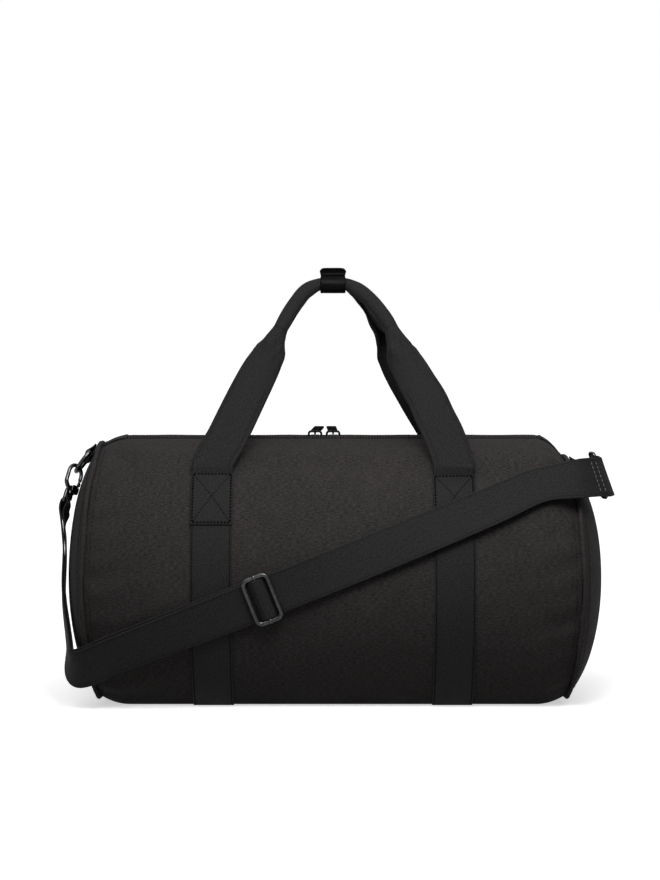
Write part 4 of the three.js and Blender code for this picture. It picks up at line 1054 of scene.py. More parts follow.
@dataclass
class Zip:
    """The zip: its covering gussets, tapes, coils, end tabs, sliders and pulls."""

    length: float = 408.0
    mouth: float = 8.0
    gusset_thickness: float = 1.6
    tape_thickness: float = 1.2
    tape_reach: float = 17.0
    coil_width: float = 3.2
    coil_thickness: float = 2.6
    coil_wire: float = 0.42
    coil_pitch: float = 1.7
    parting: float = 1.8
    tab_length: float = 14.0
    tab_overhang: float = 8.0
    tab_width: float = 40.0
    tab_thickness: float = 1.6
    slider_length: float = 17.0
    slider_width: float = 12.0
    plate: float = 1.5
    bail_radius: float = 1.1
    bail_span: float = 12.0
    bail_height: float = 3.6
    pull_width: float = 9.4
    pull_length: float = 25.0
    pull_thickness: float = 2.0
    eye_radius: float = 2.3
    pull_rise: float = 6.0
    pull_turn: dict[str, float] = field(default_factory=lambda: {"left": 9.0, "right": -4.0})
    meeting_x: float = -8.5

    @property
    def tape_top(self) -> float:
        """Height of the tapes' upper face off the cloth."""
        return -self.gusset_thickness - 2 * FORM.gap

    @property
    def coil_middle(self) -> float:
        """Height of the coils' middle off the cloth."""
        return self.tape_top - self.tape_thickness / 2

    def gussets(self) -> None:
        """Makes the canvas strips that fold back beside the zip, sewn near the fold and near the panel."""
        edge = FORM.turn(FORM.gap / 2)
        for face, sign in FACE_SIGN.items():
            work = Work()
            angle = sign * np.linspace(FORM.turn(self.mouth), FORM.turn(GUSSET_HALF_WIDTH) - edge, 14)[:, None]
            share = np.linspace(-1, 1, 160)[None]
            x = FORM.seam_x(angle) * share
            row = np.arange(14)[:, None]
            fold = np.where(row == 0, 0.75, np.where(row == 1, 0.2, 0.0))
            puff = 0.5 * bell(row, 3, 1.5) + 0.25 * np.sin(x / 9.0) * bell(row, 2, 2.0)
            outer = FORM.at(x, angle, puff - fold)
            inner = FORM.at(x, angle, -self.gusset_thickness + fold)
            work.loft(np.concatenate([outer, inner[:, ::-1]], axis=1))
            along = np.linspace(-FORM.seam_length / 2 + 14, FORM.seam_length / 2 - 14, 200)
            for reach, seam in ((self.mouth + 3.4, GUSSET_FOLD_SEAM),
                                (GUSSET_HALF_WIDTH - 3.0, GUSSET_EDGE_SEAM)):
                sew_on_form(work, along, np.full(200, sign * FORM.turn(reach)), 0.3, seam)
            work.make(f"{face}_gusset", [TRIM, THREAD_AND_HOLE_SHADE], "bag", f"{face}_zip_gusset")

    def tapes(self) -> None:
        """Makes the tapes and, on each, a coil: a thread wound round a flat core along the zip."""
        inner = self.parting / 2
        outer = inner + self.coil_width
        half = self.length / 2
        for face, sign in FACE_SIGN.items():
            reach = (outer + FORM.gap + self.tape_reach) / 2
            work = Work()
            strip_on_form(work, sign * FORM.turn(reach), -half, half, self.tape_reach - outer - FORM.gap,
                          self.tape_top - self.tape_thickness / 2, self.tape_thickness, 60, along_x=True)
            work.make(f"{face}_tape", [NYLON], "bag", f"{face}_zip_tape")
            turns, wire = int(self.length / self.coil_pitch), self.coil_wire
            t = np.linspace(0, 1, turns * 9)
            spin = 2 * np.pi * turns * t
            off = (inner + outer) / 2 + (self.coil_width / 2 - wire) * np.cos(spin)
            lift = self.coil_middle + (self.coil_thickness / 2 - wire) * np.sin(spin)
            path = FORM.at(mix(-half, half, t), sign * off / FORM.half_depth, lift)
            work = Work()
            work.tube(path, wire, ALONG_BAG, sides=4)
            work.make(f"{face}_coil", [NYLON], "bag", f"{face}_zip_coil")

    def tabs(self) -> None:
        """Makes the tabs over the zip's ends, sewn down along both long edges."""
        width, half = self.tab_length + self.tab_overhang, FORM.turn(self.tab_width / 2)
        for side, sign in SIDE_SIGN.items():
            x = sign * (self.length + self.tab_overhang) / 2
            work = Work()
            strip_on_form(work, x, -half, half, width, self.tab_thickness / 2 - 0.4, self.tab_thickness, 24)
            turn = np.linspace(-half * 0.92, half * 0.92, 40)
            for off in (-width / 2 + 1.8, width / 2 - 1.8):
                sew_on_form(work, x + off, turn, self.tab_thickness - 0.35, TAB_SEAM)
            work.make(f"{side}_end_tab", [WEBBING, THREAD_AND_HOLE_SHADE], "bag", f"{side}_zip_end_tab")

    def slider(self, side: str, frame: Frame, plate_top: float) -> None:
        """Makes a slider: two rounded plates on a post, raised rails along the upper one, and its bail."""
        work = Work()
        top_under = self.coil_middle + self.coil_thickness / 2 + FORM.gap
        bottom = self.coil_middle - self.coil_thickness / 2 - FORM.gap
        outline = rounded_box(self.slider_length, self.slider_width, 3.6, 7)
        work.slab(outline, top_under, plate_top, 0.55, frame)
        work.slab(outline, bottom - self.plate, bottom, 0.5, frame)
        work.slab(rounded_box(5.0, 1.2, 0.5, 4), bottom - 0.2, top_under + 0.2, 0.1, frame)
        work.slab(rounded_box(self.slider_length * 0.5, self.slider_width * 0.42, 2.0, 6), plate_top - 0.3,
                  plate_top + 0.5, 0.4, frame)
        half, corner = self.bail_span / 2, 2.2
        bow = np.vstack([[[half, -0.8]], arc(half - corner, self.bail_height - corner, corner, 0, 90, 8),
                         arc(-half + corner, self.bail_height - corner, corner, 90, 180, 8), [[-half, -0.8]]])
        path = np.column_stack([bow[:, 0], np.zeros(len(bow)), bow[:, 1] + plate_top])
        work.tube(placed(evenly(path, 30), frame), self.bail_radius, np.array([0.0, 1, 0]), sides=12)
        work.make(f"{side}_slider_body", [BLACKENED], f"{side}_slider", f"{side}_slider")

    def pull(self, side: str, hinge: Array) -> None:
        """Makes a pull: an eye on the bail, and a long plate with rounded edges and a raised rim."""
        rise = math.radians(self.pull_rise)
        turn = math.radians(self.pull_turn[side])
        along = np.array([math.sin(turn) * math.cos(rise), math.cos(turn) * math.cos(rise), math.sin(rise)])
        frame = frame_of(hinge, along, UP)
        work = Work()
        turn = around(30)
        eye = np.column_stack([np.zeros(30), np.cos(turn), np.sin(turn)]) * self.eye_radius
        work.tube(placed(eye, frame), 0.8, frame[1][0], closed=True, sides=10)
        start = self.eye_radius - 0.3
        half = self.pull_thickness / 2
        plate = rounded_box(self.pull_width, self.pull_length, 1.8, 7) + [0, start + self.pull_length / 2]
        work.slab(plate, -half, half, 0.7, frame)
        inset = (rounded_box(self.pull_width - 4, self.pull_length - 6, 1.6, 7)
                 + [0, start + self.pull_length / 2 + 0.5])
        work.slab(inset, -half - 0.35, half + 0.35, 0.5, frame)
        work.make(f"{side}_pull_plate", [BLACKENED], f"{side}_pull", f"{side}_pull")

    def build(self) -> None:
        """Makes every part of the zip."""
        self.gussets()
        self.tapes()
        self.tabs()
        plate_top = self.coil_middle + self.coil_thickness / 2 + FORM.gap + self.plate
        for side, sign in SIDE_SIGN.items():
            x = self.meeting_x + sign * (self.slider_length + FORM.gap) / 2
            frame = (np.array([x, 0.0, FORM.height]), np.eye(3))
            self.slider(side, frame, plate_top)
            self.pull(side, np.array([x, 0.0, FORM.height + plate_top + self.bail_height]))


@dataclass
class BodyWebs:
    """The webs that go down the front and back, and the patches that sew the handles to them."""

    width: float = 38.0
    thickness: float = 1.6
    spacing: float = 224.0
    patch_width: float = 39.0
    patch_length: float = 54.0
    top_angle: float = math.radians(39.8)

    @property
    def over(self) -> float:
        """Height of the webs' outer face off the cloth."""
        return FORM.gap + self.thickness

    def web(self, face: str, side: str) -> None:
        """Makes a web with a row of stitches along each edge."""
        sign, x = FACE_SIGN[face], SIDE_SIGN[side] * self.spacing / 2
        end = FORM.base_angle - FORM.turn(self.over)
        work = Work()
        strip_on_form(work, x, sign * self.top_angle, sign * end, self.width,
                      FORM.gap + self.thickness / 2, self.thickness, 90)
        turn = sign * np.linspace(self.top_angle + FORM.turn(self.patch_length), end - 0.01, 120)
        for off in (-self.width / 2 + 1.7, self.width / 2 - 1.7):
            sew_on_form(work, x + off, turn, self.over + 0.1, WEB_SEAM)
        work.make(f"{face}_{side}_body_web", [WEBBING, THREAD_AND_HOLE_SHADE], "bag", f"{face}_{side}_web")

    def patch(self, face: str, side: str) -> None:
        """Makes a handle's sewn-down end: a square of stitches with its two diagonals."""
        sign, x = FACE_SIGN[face], SIDE_SIGN[side] * self.spacing / 2
        length = FORM.turn(self.patch_length)
        middle = self.over + self.thickness / 2 - 0.5
        work = Work()
        strip_on_form(work, x, sign * self.top_angle, sign * (self.top_angle + length), self.patch_width,
                      middle, self.thickness, 34)
        half = self.patch_width / 2 - 2.0
        near, far = self.top_angle + FORM.turn(2.4), self.top_angle + length - FORM.turn(2.4)
        corners = ((-half, near), (half, near), (half, far), (-half, far))
        rows = [(corners[i], corners[(i + 1) % 4]) for i in range(4)] + [(corners[0], corners[2]),
                                                                        (corners[1], corners[3])]
        for i, ((off, turn), (off2, turn2)) in enumerate(rows):
            offs, turns = np.linspace(off, off2, 40), sign * np.linspace(turn, turn2, 40)
            seam = PATCH_EDGE_SEAM if i < 4 else PATCH_CROSS_SEAM
            sew_on_form(work, x + offs, turns, middle + self.thickness / 2, seam)
        work.make(f"{face}_{side}_handle_patch", [WEBBING, THREAD_AND_HOLE_SHADE], "bag", f"{face}_{side}_handle_anchor")

    def build(self) -> None:
        """Makes the four webs and the four patches."""
        for face in FACES:
            for side in SIDES:
                self.web(face, side)
                self.patch(face, side)


@dataclass
class CarryHandles:
    """The two carry handles: flat webbing at the legs that rolls into a tube at the grip.

    Roll is how far the webbing has closed at shares of the way up. The shapes are the middle lines' distances
    from the middle, in half spacings, at the height shares. Narrowing says by how much the back handle's right
    side draws in, where and over what width. Tail reach and lift carry a leg's end down under its patch.
    """

    webs: BodyWebs
    width: float = 38.0
    thickness: float = 1.7
    height: float = 394.5
    grip_offset: float = 5.6
    grip_height: float = 12.0
    grip_depth: float = 10.0
    fullness: float = 1.2
    roll: tuple[tuple[float, float], ...] = (
        (0.18, 0), (0.34, 0.1), (0.47, 0.17), (0.57, 0.26), (0.63, 0.4), (0.69, 0.62), (0.75, 1))
    leg_top: float = 0.74
    bend_share: float = 0.14
    narrowing: tuple[float, float, float] = (0.62, 0.86, 0.08)
    tail_reach: tuple[float, ...] = (12.0, 8.0, 4.0, 1.0)
    tail_lift: tuple[float, ...] = (-0.2, -0.2, 0.1, 1.2)
    stations: int = 240
    height_shares: tuple[float, ...] = (
        0, 0.04, 0.18, 0.29, 0.38, 0.47, 0.56, 0.64, 0.72, 0.78, 0.85, 0.905, 0.96, 1)
    left_shape: tuple[float, ...] = (
        1, 0.995, 0.88, 0.8, 0.735, 0.668, 0.6, 0.535, 0.475, 0.425, 0.363, 0.305, 0.235, 0.12)
    front_right: tuple[float, ...] = (
        1, 1, 0.93, 0.85, 0.79, 0.708, 0.635, 0.575, 0.52, 0.475, 0.4, 0.33, 0.235, 0.12)
    back_right: tuple[float, ...] = (
        1, 1, 0.9, 0.8, 0.72, 0.64, 0.565, 0.5, 0.43, 0.36, 0.295, 0.245, 0.2, 0.12)

    def hinge(self, face: str) -> Array:
        """Returns the middle of the line on which a handle turns, at its patches' top edges."""
        angle = np.asarray(FACE_SIGN[face] * self.webs.top_angle)
        lift = self.webs.over + 2 * FORM.gap + self.webs.thickness + self.thickness / 2
        y, z, _, _ = FORM.section(angle)
        return np.array([0.0, float(y), float(z)]) + FORM.normal(angle) * lift

    def path(self, face: str) -> tuple[Array, Array, Array, Array, Array]:
        """Returns a handle's middle line, its share of the way up, the hinge, the rise and the way it faces."""
        hinge = self.hinge(face)
        rise = np.array([0.0, -FACE_SIGN[face] * self.grip_offset, self.height]) - hinge
        left = np.column_stack([-np.array(self.left_shape), self.height_shares])
        right = np.column_stack([self.front_right if face == "front" else self.back_right, self.height_shares])
        stops = np.vstack([left, [[0, 1]], right[::-1]])
        points = hinge + stops[:, 1:] * rise + np.array([self.webs.spacing / 2, 0, 0]) * stops[:, :1]
        line = evenly(spline(points, 1200), self.stations)
        share = (line - hinge) @ rise / (rise @ rise)
        facing = unit(np.cross(ALONG_BAG, rise)) * FACE_SIGN[face]
        return line, share, hinge, rise, facing

    def sections(self, share: Array, across: Array) -> Array:
        """Returns the webbing's section at each station.

        The webbing is an arc whose half angle grows from almost flat to nearly a full circle, so that the
        same width of cloth becomes a tube. Creases run along it where it gathers.

        Args:
            share: How far up the handle each station is.
            across: The station's place along the handle, for the creases.

        Returns:
            [across, up] pairs, shaped (stations, points, 2): the outside first, then back along the inside.
        """
        table = np.array(self.roll)
        roll = np.pad(np.interp(share, table[:, 0], table[:, 1]), 6, mode="edge")
        roll = np.convolve(roll, np.full(13, 1 / 13), mode="valid")[:, None]
        half_angle = mix(0.05, np.pi * 0.985, roll)
        tube = (self.grip_height - self.thickness) / 2 * np.pi
        radius = mix(self.width / 2, tube, roll) / half_angle
        w = np.linspace(-1, 1, 25)[None]
        angle = w * half_angle
        gather = bell(share, 0.65, 0.05)[:, None]
        crease = gather * (0.9 * np.sin(w * 7.5 + across[:, None] / 9)
                           + 0.5 * np.sin(w * 13 - across[:, None] / 6))
        crease = crease * (1 - w**4)
        edge_round = 1 - 0.55 * np.abs(w) ** 12
        rings = []
        for way, order in ((1, 1), (-1, -1)):
            reach = radius + way * self.thickness / 2 * edge_round + crease
            up = reach * np.cos(angle) - radius * np.sin(half_angle) / half_angle
            depth = mix(1.0, self.grip_depth / self.grip_height, roll)
            bulge = 1 + 0.07 * bell(share, 0.64, 0.03)[:, None] - 0.12 * bell(share, 0.755, 0.03)[:, None]
            full = 1 + (self.fullness - 1) * roll * ease(np.abs(across - across[-1] / 2), 14, 26)[:, None]
            bulge, depth = bulge * full, depth * full
            rings.append(np.stack([reach * np.sin(angle) * bulge, up * depth], -1)[:, ::order])
        return np.concatenate(rings, axis=1)

    def rings(self, face: str) -> tuple[Array, Array, Array, Array]:
        """Returns a whole handle's rings, the shares up it, its hinge and its rise."""
        line, share, hinge, rise, facing = self.path(face)
        sections = self.sections(share, lengths_along(line))
        if face == "back":
            amount, middle, width = self.narrowing
            sections[..., 0] *= (1 - amount * bell(share, middle, width) * (line[:, 0] > 0))[:, None]
        return sweep(line, sections, facing), share, hinge, rise

    def tail(self, face: str, side: str, first: Array) -> Array:
        """Returns the rings that carry a leg down from its first ring and under its patch."""
        sign, x = FACE_SIGN[face], SIDE_SIGN[side] * self.webs.spacing / 2
        angle = sign * (self.webs.top_angle + FORM.turn(1.0) * np.array(self.tail_reach))
        middle = FORM.at(x, angle, self.webs.over + np.array(self.tail_lift))
        shift = first - first.mean(0)
        height = shift @ FORM.normal(np.asarray(sign * self.webs.top_angle))
        return (middle[:, None] + shift[:, :1] * ALONG_BAG
                + np.clip(height, -0.7, 0.7)[:, None] * FORM.normal(angle)[:, None])

    def stitch_grip(self, work: Work, rings: Array, facing: Array) -> None:
        """Sews the rolled webbing's two edges together along the side away from the handle's face."""
        m = rings.shape[1] // 2
        seam = (rings[:, 0] + rings[:, m - 1]) / 2
        work.stitches(seam - facing * 0.15, np.broadcast_to(-facing, seam.shape), GRIP_SEAM)

    def build(self) -> None:
        """Makes both handles: two legs that bend out of their patches, and a grip."""
        for face in FACES:
            body = f"{face}_handle"
            rings, share, hinge, rise = self.rings(face)
            split = int(np.argmax(share >= self.leg_top))
            last = self.stations - split
            for side, part in (("left", rings[:split + 1]), ("right", rings[last - 1:][::-1])):
                work = Work()
                work.loft(np.concatenate([self.tail(face, side, part[0]), part[1:]]))
                m = part.shape[1] // 4
                for column in (2, 2 * m - 3):
                    flat = part[3:int(split * 0.62), column]
                    out = np.broadcast_to(self.path(face)[4], flat.shape)
                    work.stitches(flat + out * 0.05, out, LEG_SEAM)
                leg = work.make(f"{face}_{side}_leg", [WEBBING, THREAD_AND_HOLE_SHADE], None, f"{face}_handle_{side}_leg")
                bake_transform(leg)
            work = Work()
            grip = rings[split:last]
            work.loft(grip)
            self.stitch_grip(work, grip, self.path(face)[4])
            work.make(f"{face}_grip", [WEBBING, THREAD_AND_HOLE_SHADE], body, f"{face}_handle_grip")


@dataclass
class HandleWrap:
    """The leather wrap round both grips: a front half with the stud and a flap that folds open."""

    handles: CarryHandles
    length: float = 24.0
    leather: float = 1.5
    slack: float = 0.8
    fin: float = 8.0

    def half(self, sign: float) -> Array:
        """Returns the middle line of one half, from its lowest point up to the fin's lip."""
        grip = self.handles
        across = grip.grip_offset + grip.grip_depth / 2 + self.slack + self.leather / 2
        up = grip.grip_height / 2 + self.slack + self.leather / 2
        bend = up * 0.8
        fin_y = 1.2 + self.leather / 2
        turn = np.linspace(-np.pi / 2, np.pi / 2, 26)
        bow = np.column_stack([across - bend + bend * np.cos(turn), up * np.sin(turn)])
        neck = self.curl(bow[-1], (fin_y + 1, up), (fin_y, up + self.fin * 0.35))
        lip = self.curl(neck[-1], (fin_y, up + self.fin * 0.7), (fin_y + 1.6, up + self.fin))
        line = evenly(np.vstack([[[FORM.gap / 2 + 0.6, -up]], bow, neck[1:], lip[1:]]), 70)
        return np.column_stack([np.zeros(70), sign * line[:, 0], grip.height + line[:, 1]])

    @staticmethod
    def curl(a: Array, b: tuple[float, float], c: tuple[float, float]) -> Array:
        """Returns a curve from a to c that leaves towards b: (1-t)^2 a + 2t(1-t) b + t^2 c."""
        t = np.linspace(0, 1, 12)[:, None]
        return (1 - t) ** 2 * np.array(a) + 2 * t * (1 - t) * np.array(b) + t**2 * np.array(c)

    def skin(self, sign: float, name: str, body: str, node: str) -> None:
        """Makes one half, a little wider at the fin's lip, with stitches along both long edges."""
        line = self.half(sign)
        up = unit(np.cross(ALONG_BAG, directions(line)))
        section = stadium(self.length, self.leather, flat=15)
        share = np.linspace(0, 1, len(line))
        flare = (1 + 0.05 * ease(share, 0.8, 0.93) - 0.035 * bell(share, 0.74, 0.08)
                 - 0.12 * ease(share, 0.965, 1.0))
        sections = section[None] * np.stack([flare, np.ones_like(flare)], -1)[:, None]
        crown = 0.35 * (1 - (2 * section[:, 0] / self.length) ** 2) * bell(share, 0.35, 0.2)[:, None]
        sections[..., 1] += crown
        rings = sweep(line, sections, up)
        droop = (2 * np.abs(rings[..., 0]) / self.length) ** 6
        rings[..., 2] -= 1.3 * droop * ease(share, 0.86, 1.0)[:, None]
        work = Work()
        work.loft(rings)
        across = np.cross(directions(line), up)
        outward = up if np.dot(up[20], line[20] - [0, 0, self.handles.height]) > 0 else -up
        for way in (-1, 1):
            edge = line + across * way * (self.length / 2 - 1.6) + outward * (self.leather / 2 + 0.1)
            work.stitches(edge[3:], outward[3:], WRAP_SEAM)
        work.make(name, [LEATHER, THREAD_AND_HOLE_SHADE], body, node)

    def build(self) -> None:
        """Makes both halves, the stud and its socket."""
        self.skin(-1, "wrap_front_leather", "front_handle", "wrap_front")
        self.skin(1, "wrap_flap_leather", "wrap_flap", "wrap_flap")
        z = self.handles.height + self.handles.grip_height / 2 + FORM.gap + self.leather + self.fin * 0.42
        stud = np.array([[0.01, -0.9], [1.6, -0.9], [1.7, -0.5], [1.6, -0.1],
                         [0.9, 0.1], [0.9, 0.6], [0.7, 0.7], [0.01, 0.7]])
        socket = np.array([[1.9, -0.4], [2.0, -0.5], [2.9, -0.5], [3.0, -0.4],
                           [3.0, 0.2], [2.9, 0.3], [2.0, 0.3], [1.9, 0.2]])
        halves = (("wrap_stud", stud, 0.0, "front_handle"), ("wrap_socket", socket, 0.6, "wrap_flap"))
        for part, profile, y, body in halves:
            work = Work()
            work.loft(lathe(profile, (np.array([0, y, z]), np.eye(3))), closed=True)
            work.make(f"{part}_metal", [GUNMETAL], body, part)


# ---------------------------------------------------------------- rings, hooks, strap and adjuster


class Joints:
    """The frame's joints and nodes, in millimetres."""

    def __init__(self, frame: dict) -> None:
        """Keeps the joints by name and the nodes."""
        self.joints = {joint["name"]: joint for joint in frame["joints"]}
        self.nodes = frame["nodes"]

    def at(self, name: str) -> Array:
        """Returns a joint's place."""
        return np.array(self.joints[name]["pos_m"]) / METRES

    def axis(self, name: str) -> Array:
        """Returns a joint's axis, of length one."""
        return unit(np.array(self.joints[name]["axis"], float))

    def corners(self, name: str) -> Array:
        """Returns a node's corners."""
        mesh = self.nodes[name].data
        flat = np.empty(len(mesh.vertices) * 3, np.float32)
        mesh.vertices.foreach_get("co", flat)
        return flat.reshape(-1, 3).astype(float) / METRES

    def middle(self, name: str) -> Array:
        """Returns the middle of a node's corners' box."""
        corners = self.corners(name)
        return (corners.min(0) + corners.max(0)) / 2

    def ring(self, side: str) -> Frame:
        """Returns a ring's frame: its bar, across it, along to its far side and away from the bag."""
        origin, across = self.at(f"{side}_ring_swing"), self.axis(f"{side}_ring_swing")
        along = self.corners(f"{side}_d_ring").mean(0) - origin
        along = unit(along - across * (along @ across))
        facing = np.cross(across, along)
        if facing[0] * SIDE_SIGN[side] < 0:
            across, facing = -across, -facing
        return origin, np.array([across, along, facing])

    def loop(self, side: str) -> Frame:
        """Returns a strap loop's frame: its bar, and along to the hook's bow."""
        facing = np.array([-1, 0, 0.1]) if side == "left" else np.array([1, 0, 0.3])
        along = self.axis(f"{side}_hook_swivel")
        if along @ (self.middle(f"{side}_hook_body") - self.at(f"{side}_hook_swivel")) < 0:
            along = -along
        return frame_of(self.at(f"{side}_hook_swivel"), along, facing)

    def hook(self, side: str) -> Frame:
        """Returns a hook's frame, whose first axis points from its spine to its gate."""
        origin, axes = self.loop(side)
        gate = self.at(f"{side}_gate_open") - origin
        x = unit(gate - axes[1] * (gate @ axes[1]))
        return origin, np.array([x, axes[1], np.cross(x, axes[1])])


@dataclass
class RingMounts:
    """The D-rings on the end panels and the webbing tabs that hold them."""

    joints: Joints
    wire: float = 2.0
    half_width: float = 14.0
    side: float = 5.0
    tab_width: float = 22.0
    tab_length: float = 11.0
    tab_thickness: float = 1.6

    def ring(self, side: str, frame: Frame) -> None:
        """Makes a D-ring: a straight bar, two small corners and a half circle."""
        w, r = self.half_width, 3.0
        flat = np.vstack([arc(-w + r, r, r, 180, 270, 8), arc(w - r, r, r, 270, 360, 8),
                          arc(0, self.side, w, 0, 180, 40)])
        work = Work()
        work.tube(placed(wire_round(flat, 96), frame), self.wire, frame[1][2], closed=True, sides=16)
        work.make(f"{side}_ring_metal", [GUNMETAL], f"{side}_ring", f"{side}_d_ring")

    def tab(self, side: str, frame: Frame) -> None:
        """Makes a tab: webbing folded over the ring's bar, both ends sewn flat to the end panel."""
        turn = self.wire + FORM.gap + self.tab_thickness / 2
        root = placed(np.array([0.0, -self.tab_length, 0]), frame)
        under = FORM.off_end(side, root[1], root[2], FORM.gap + self.tab_thickness / 2)
        low = (under - frame[0]) @ frame[1][2]
        over = low + self.tab_thickness + FORM.gap
        fold = arc(0, 0, turn, -90, 90, 16)
        line = np.vstack([[[-self.tab_length, low]], fold,
                          [[-self.tab_length * 0.6, mix(turn, over, 0.8)], [-self.tab_length, over]]])
        path = evenly(np.column_stack([np.zeros(len(line)), line]), 44)
        work = Work()
        along = directions(path)
        work.loft(sweep(placed(path, frame), stadium(self.tab_width, self.tab_thickness),
                        np.cross(along, ALONG_BAG) @ frame[1]))
        across = np.linspace(-self.tab_width / 2 + 2, self.tab_width / 2 - 2, 20)
        for back in (3.0, 6.5):
            row = np.column_stack([across, np.full(20, -self.tab_length + back - 1),
                                   np.full(20, over + self.tab_thickness / 2 + 0.3)])
            work.stitches(placed(row, frame), np.broadcast_to(frame[1][2], row.shape), RING_TAB_SEAM)
        work.make(f"{side}_ring_webbing", [WEBBING, THREAD_AND_HOLE_SHADE], "bag", f"{side}_ring_tab")

    def build(self) -> None:
        """Makes both rings and tabs."""
        for side in SIDES:
            frame = self.joints.ring(side)
            self.ring(side, frame)
            self.tab(side, frame)


@dataclass
class SnapHooks:
    """The swivel snap hooks and the loops that the strap goes through."""

    joints: Joints
    strap_width: float = 38.0
    loop_wire: float = 1.75
    loop_opening: float = 8.0
    loop_corner: float = 2.4
    rod: float = 1.9
    bow: float = 8.5
    length: float = 45.0
    boss_radius: float = 4.0
    boss_length: float = 5.0
    neck: float = 6.0
    post: float = 1.5
    pin_x: float = 6.0
    pin_radius: float = 0.9
    gate_width: float = 2.2

    @property
    def loop_height(self) -> float:
        """The loop's height over its wires' middles."""
        return self.loop_opening + 2 * self.loop_wire

    @property
    def boss_top(self) -> float:
        """Where the swivel's boss ends."""
        return self.loop_height + self.boss_length / 2

    def turned(self, work: Work, profile: list[tuple[float, float]], frame: Frame) -> None:
        """Turns [radius, along] pairs round the hook's long axis."""
        profile = np.array(profile)
        turn = around(24)
        rings = np.stack([profile[:, None, 0] * np.cos(turn),
                          np.broadcast_to(profile[:, 1:], (len(profile), 24)),
                          profile[:, None, 0] * np.sin(turn)], -1)
        work.loft(placed(rings, frame))

    def loop(self, side: str, frame: Frame) -> None:
        """Makes a strap loop: a rounded rectangle of wire with the swivel's boss on its far side."""
        width = self.strap_width + 2 * FORM.gap + 2 * self.loop_corner
        flat = rounded_box(width, self.loop_height, self.loop_corner, 7) + [0, self.loop_height / 2]
        work = Work()
        work.tube(placed(wire_round(flat, 120), frame), self.loop_wire, frame[1][2], closed=True, sides=14)
        low, high = self.loop_height - self.boss_length / 2, self.boss_top
        r, hole = self.boss_radius, self.post + 0.3
        boss = [(hole, low), (r - 0.7, low), (r, low + 0.7), (r, high - 0.7), (r - 0.7, high), (hole, high)]
        work.loft(lathe(boss, frame), closed=True)
        work.make(f"{side}_loop_metal", [GUNMETAL], "strap", f"{side}_strap_loop")

    def hook(self, side: str, frame: Frame) -> None:
        """Makes a hook: post, body, gate and pin, each its own piece; the gate rides on a body of its own."""
        neck = self.boss_top + FORM.gap
        head = self.boss_top - self.boss_length - FORM.gap - 1.2
        work = Work()
        self.turned(work, [(0.2, head), (2.5, head), (2.8, head + 0.3), (2.8, head + 0.9), (2.5, head + 1.2),
                           (self.post, head + 1.25), (self.post, neck - 0.1), (0.2, neck - 0.1)], frame)
        work.make(f"{side}_swivel_metal", [GUNMETAL], f"{side}_hook", f"{side}_hook_swivel_post")

        shoulder, bow_y, spine_x = neck + self.neck, self.length - self.bow, self.bow
        stops = np.array([(0, neck + 2), (-2, shoulder - 1),
                          (-spine_x + 0.5, shoulder + 5), (-spine_x, bow_y - 4)])
        spine = spline(stops, 20)
        tip_y = bow_y - 3
        flat = np.vstack([spine, arc(0, bow_y, self.bow, 180, 0, 32), [[spine_x, tip_y]]])
        path = evenly(np.column_stack([flat, np.zeros(len(flat))]), 90)
        work = Work()
        work.tube(placed(path, frame), self.rod * (1 + 0.12 * bell(np.linspace(0, 1, 90), 0.16, 0.1)),
                  frame[1][2], sides=16)
        r = self.boss_radius
        self.turned(work, [(0.3, neck), (r - 0.6, neck), (r, neck + 0.6), (r, neck + 2.6), (r - 0.9, neck + 3.6),
                           (r - 1.2, shoulder - 1.4), (r - 1.8, shoulder - 1.0), (0.3, shoulder - 1.0)], frame)
        pin_y, ear = shoulder + 3, self.gate_width / 2 + FORM.gap
        plate = rounded_box(self.pin_x + 3.0, 8.6, 2.6, 7) + [(self.pin_x + 2.6) / 2 - 0.5, pin_y - 2.3]
        for low, high in ((ear, ear + 1.5), (-ear - 1.5, -ear)):
            work.slab(plate, low, high, 0.45, frame)
        work.make(f"{side}_hook_metal", [GUNMETAL], f"{side}_hook", f"{side}_hook_body")

        work = Work()
        gate_line = np.array([(self.pin_x, pin_y, 0), (self.bow - 0.6, (pin_y + tip_y) / 2, 0),
                              (self.bow, tip_y - 0.6, 0)])
        blade = evenly(spline(gate_line, 24), 24)
        work.loft(sweep(placed(blade, frame), rounded_box(self.gate_width, self.gate_width, 0.7, 4),
                        frame[1][2]))
        eye = arc(0, 0, 2.1, 0, 345, 24) + [self.pin_x, pin_y]
        work.slab(eye, -self.gate_width / 2, self.gate_width / 2, 0.3, frame)
        work.slab(rounded_box(2.4, 4.0, 0.9, 5) + [self.bow + 0.4, mix(pin_y, tip_y, 0.55)],
                  -0.9, 0.9, 0.3, frame)
        work.make(f"{side}_gate_metal", [GUNMETAL], f"{side}_gate", f"{side}_hook_gate")

        work = Work()
        reach = ear + 1.5 + 0.2
        pin = np.column_stack([np.full(6, self.pin_x), np.full(6, pin_y), np.linspace(-reach, reach, 6)])
        work.tube(placed(pin, frame), self.pin_radius, frame[1][0], sides=14)
        work.make(f"{side}_pin_metal", [GUNMETAL], f"{side}_hook", f"{side}_hook_gate_pin")

    def build(self) -> None:
        """Makes both loops and hooks."""
        for side in SIDES:
            self.loop(side, self.joints.loop(side))
            self.hook(side, self.joints.hook(side))


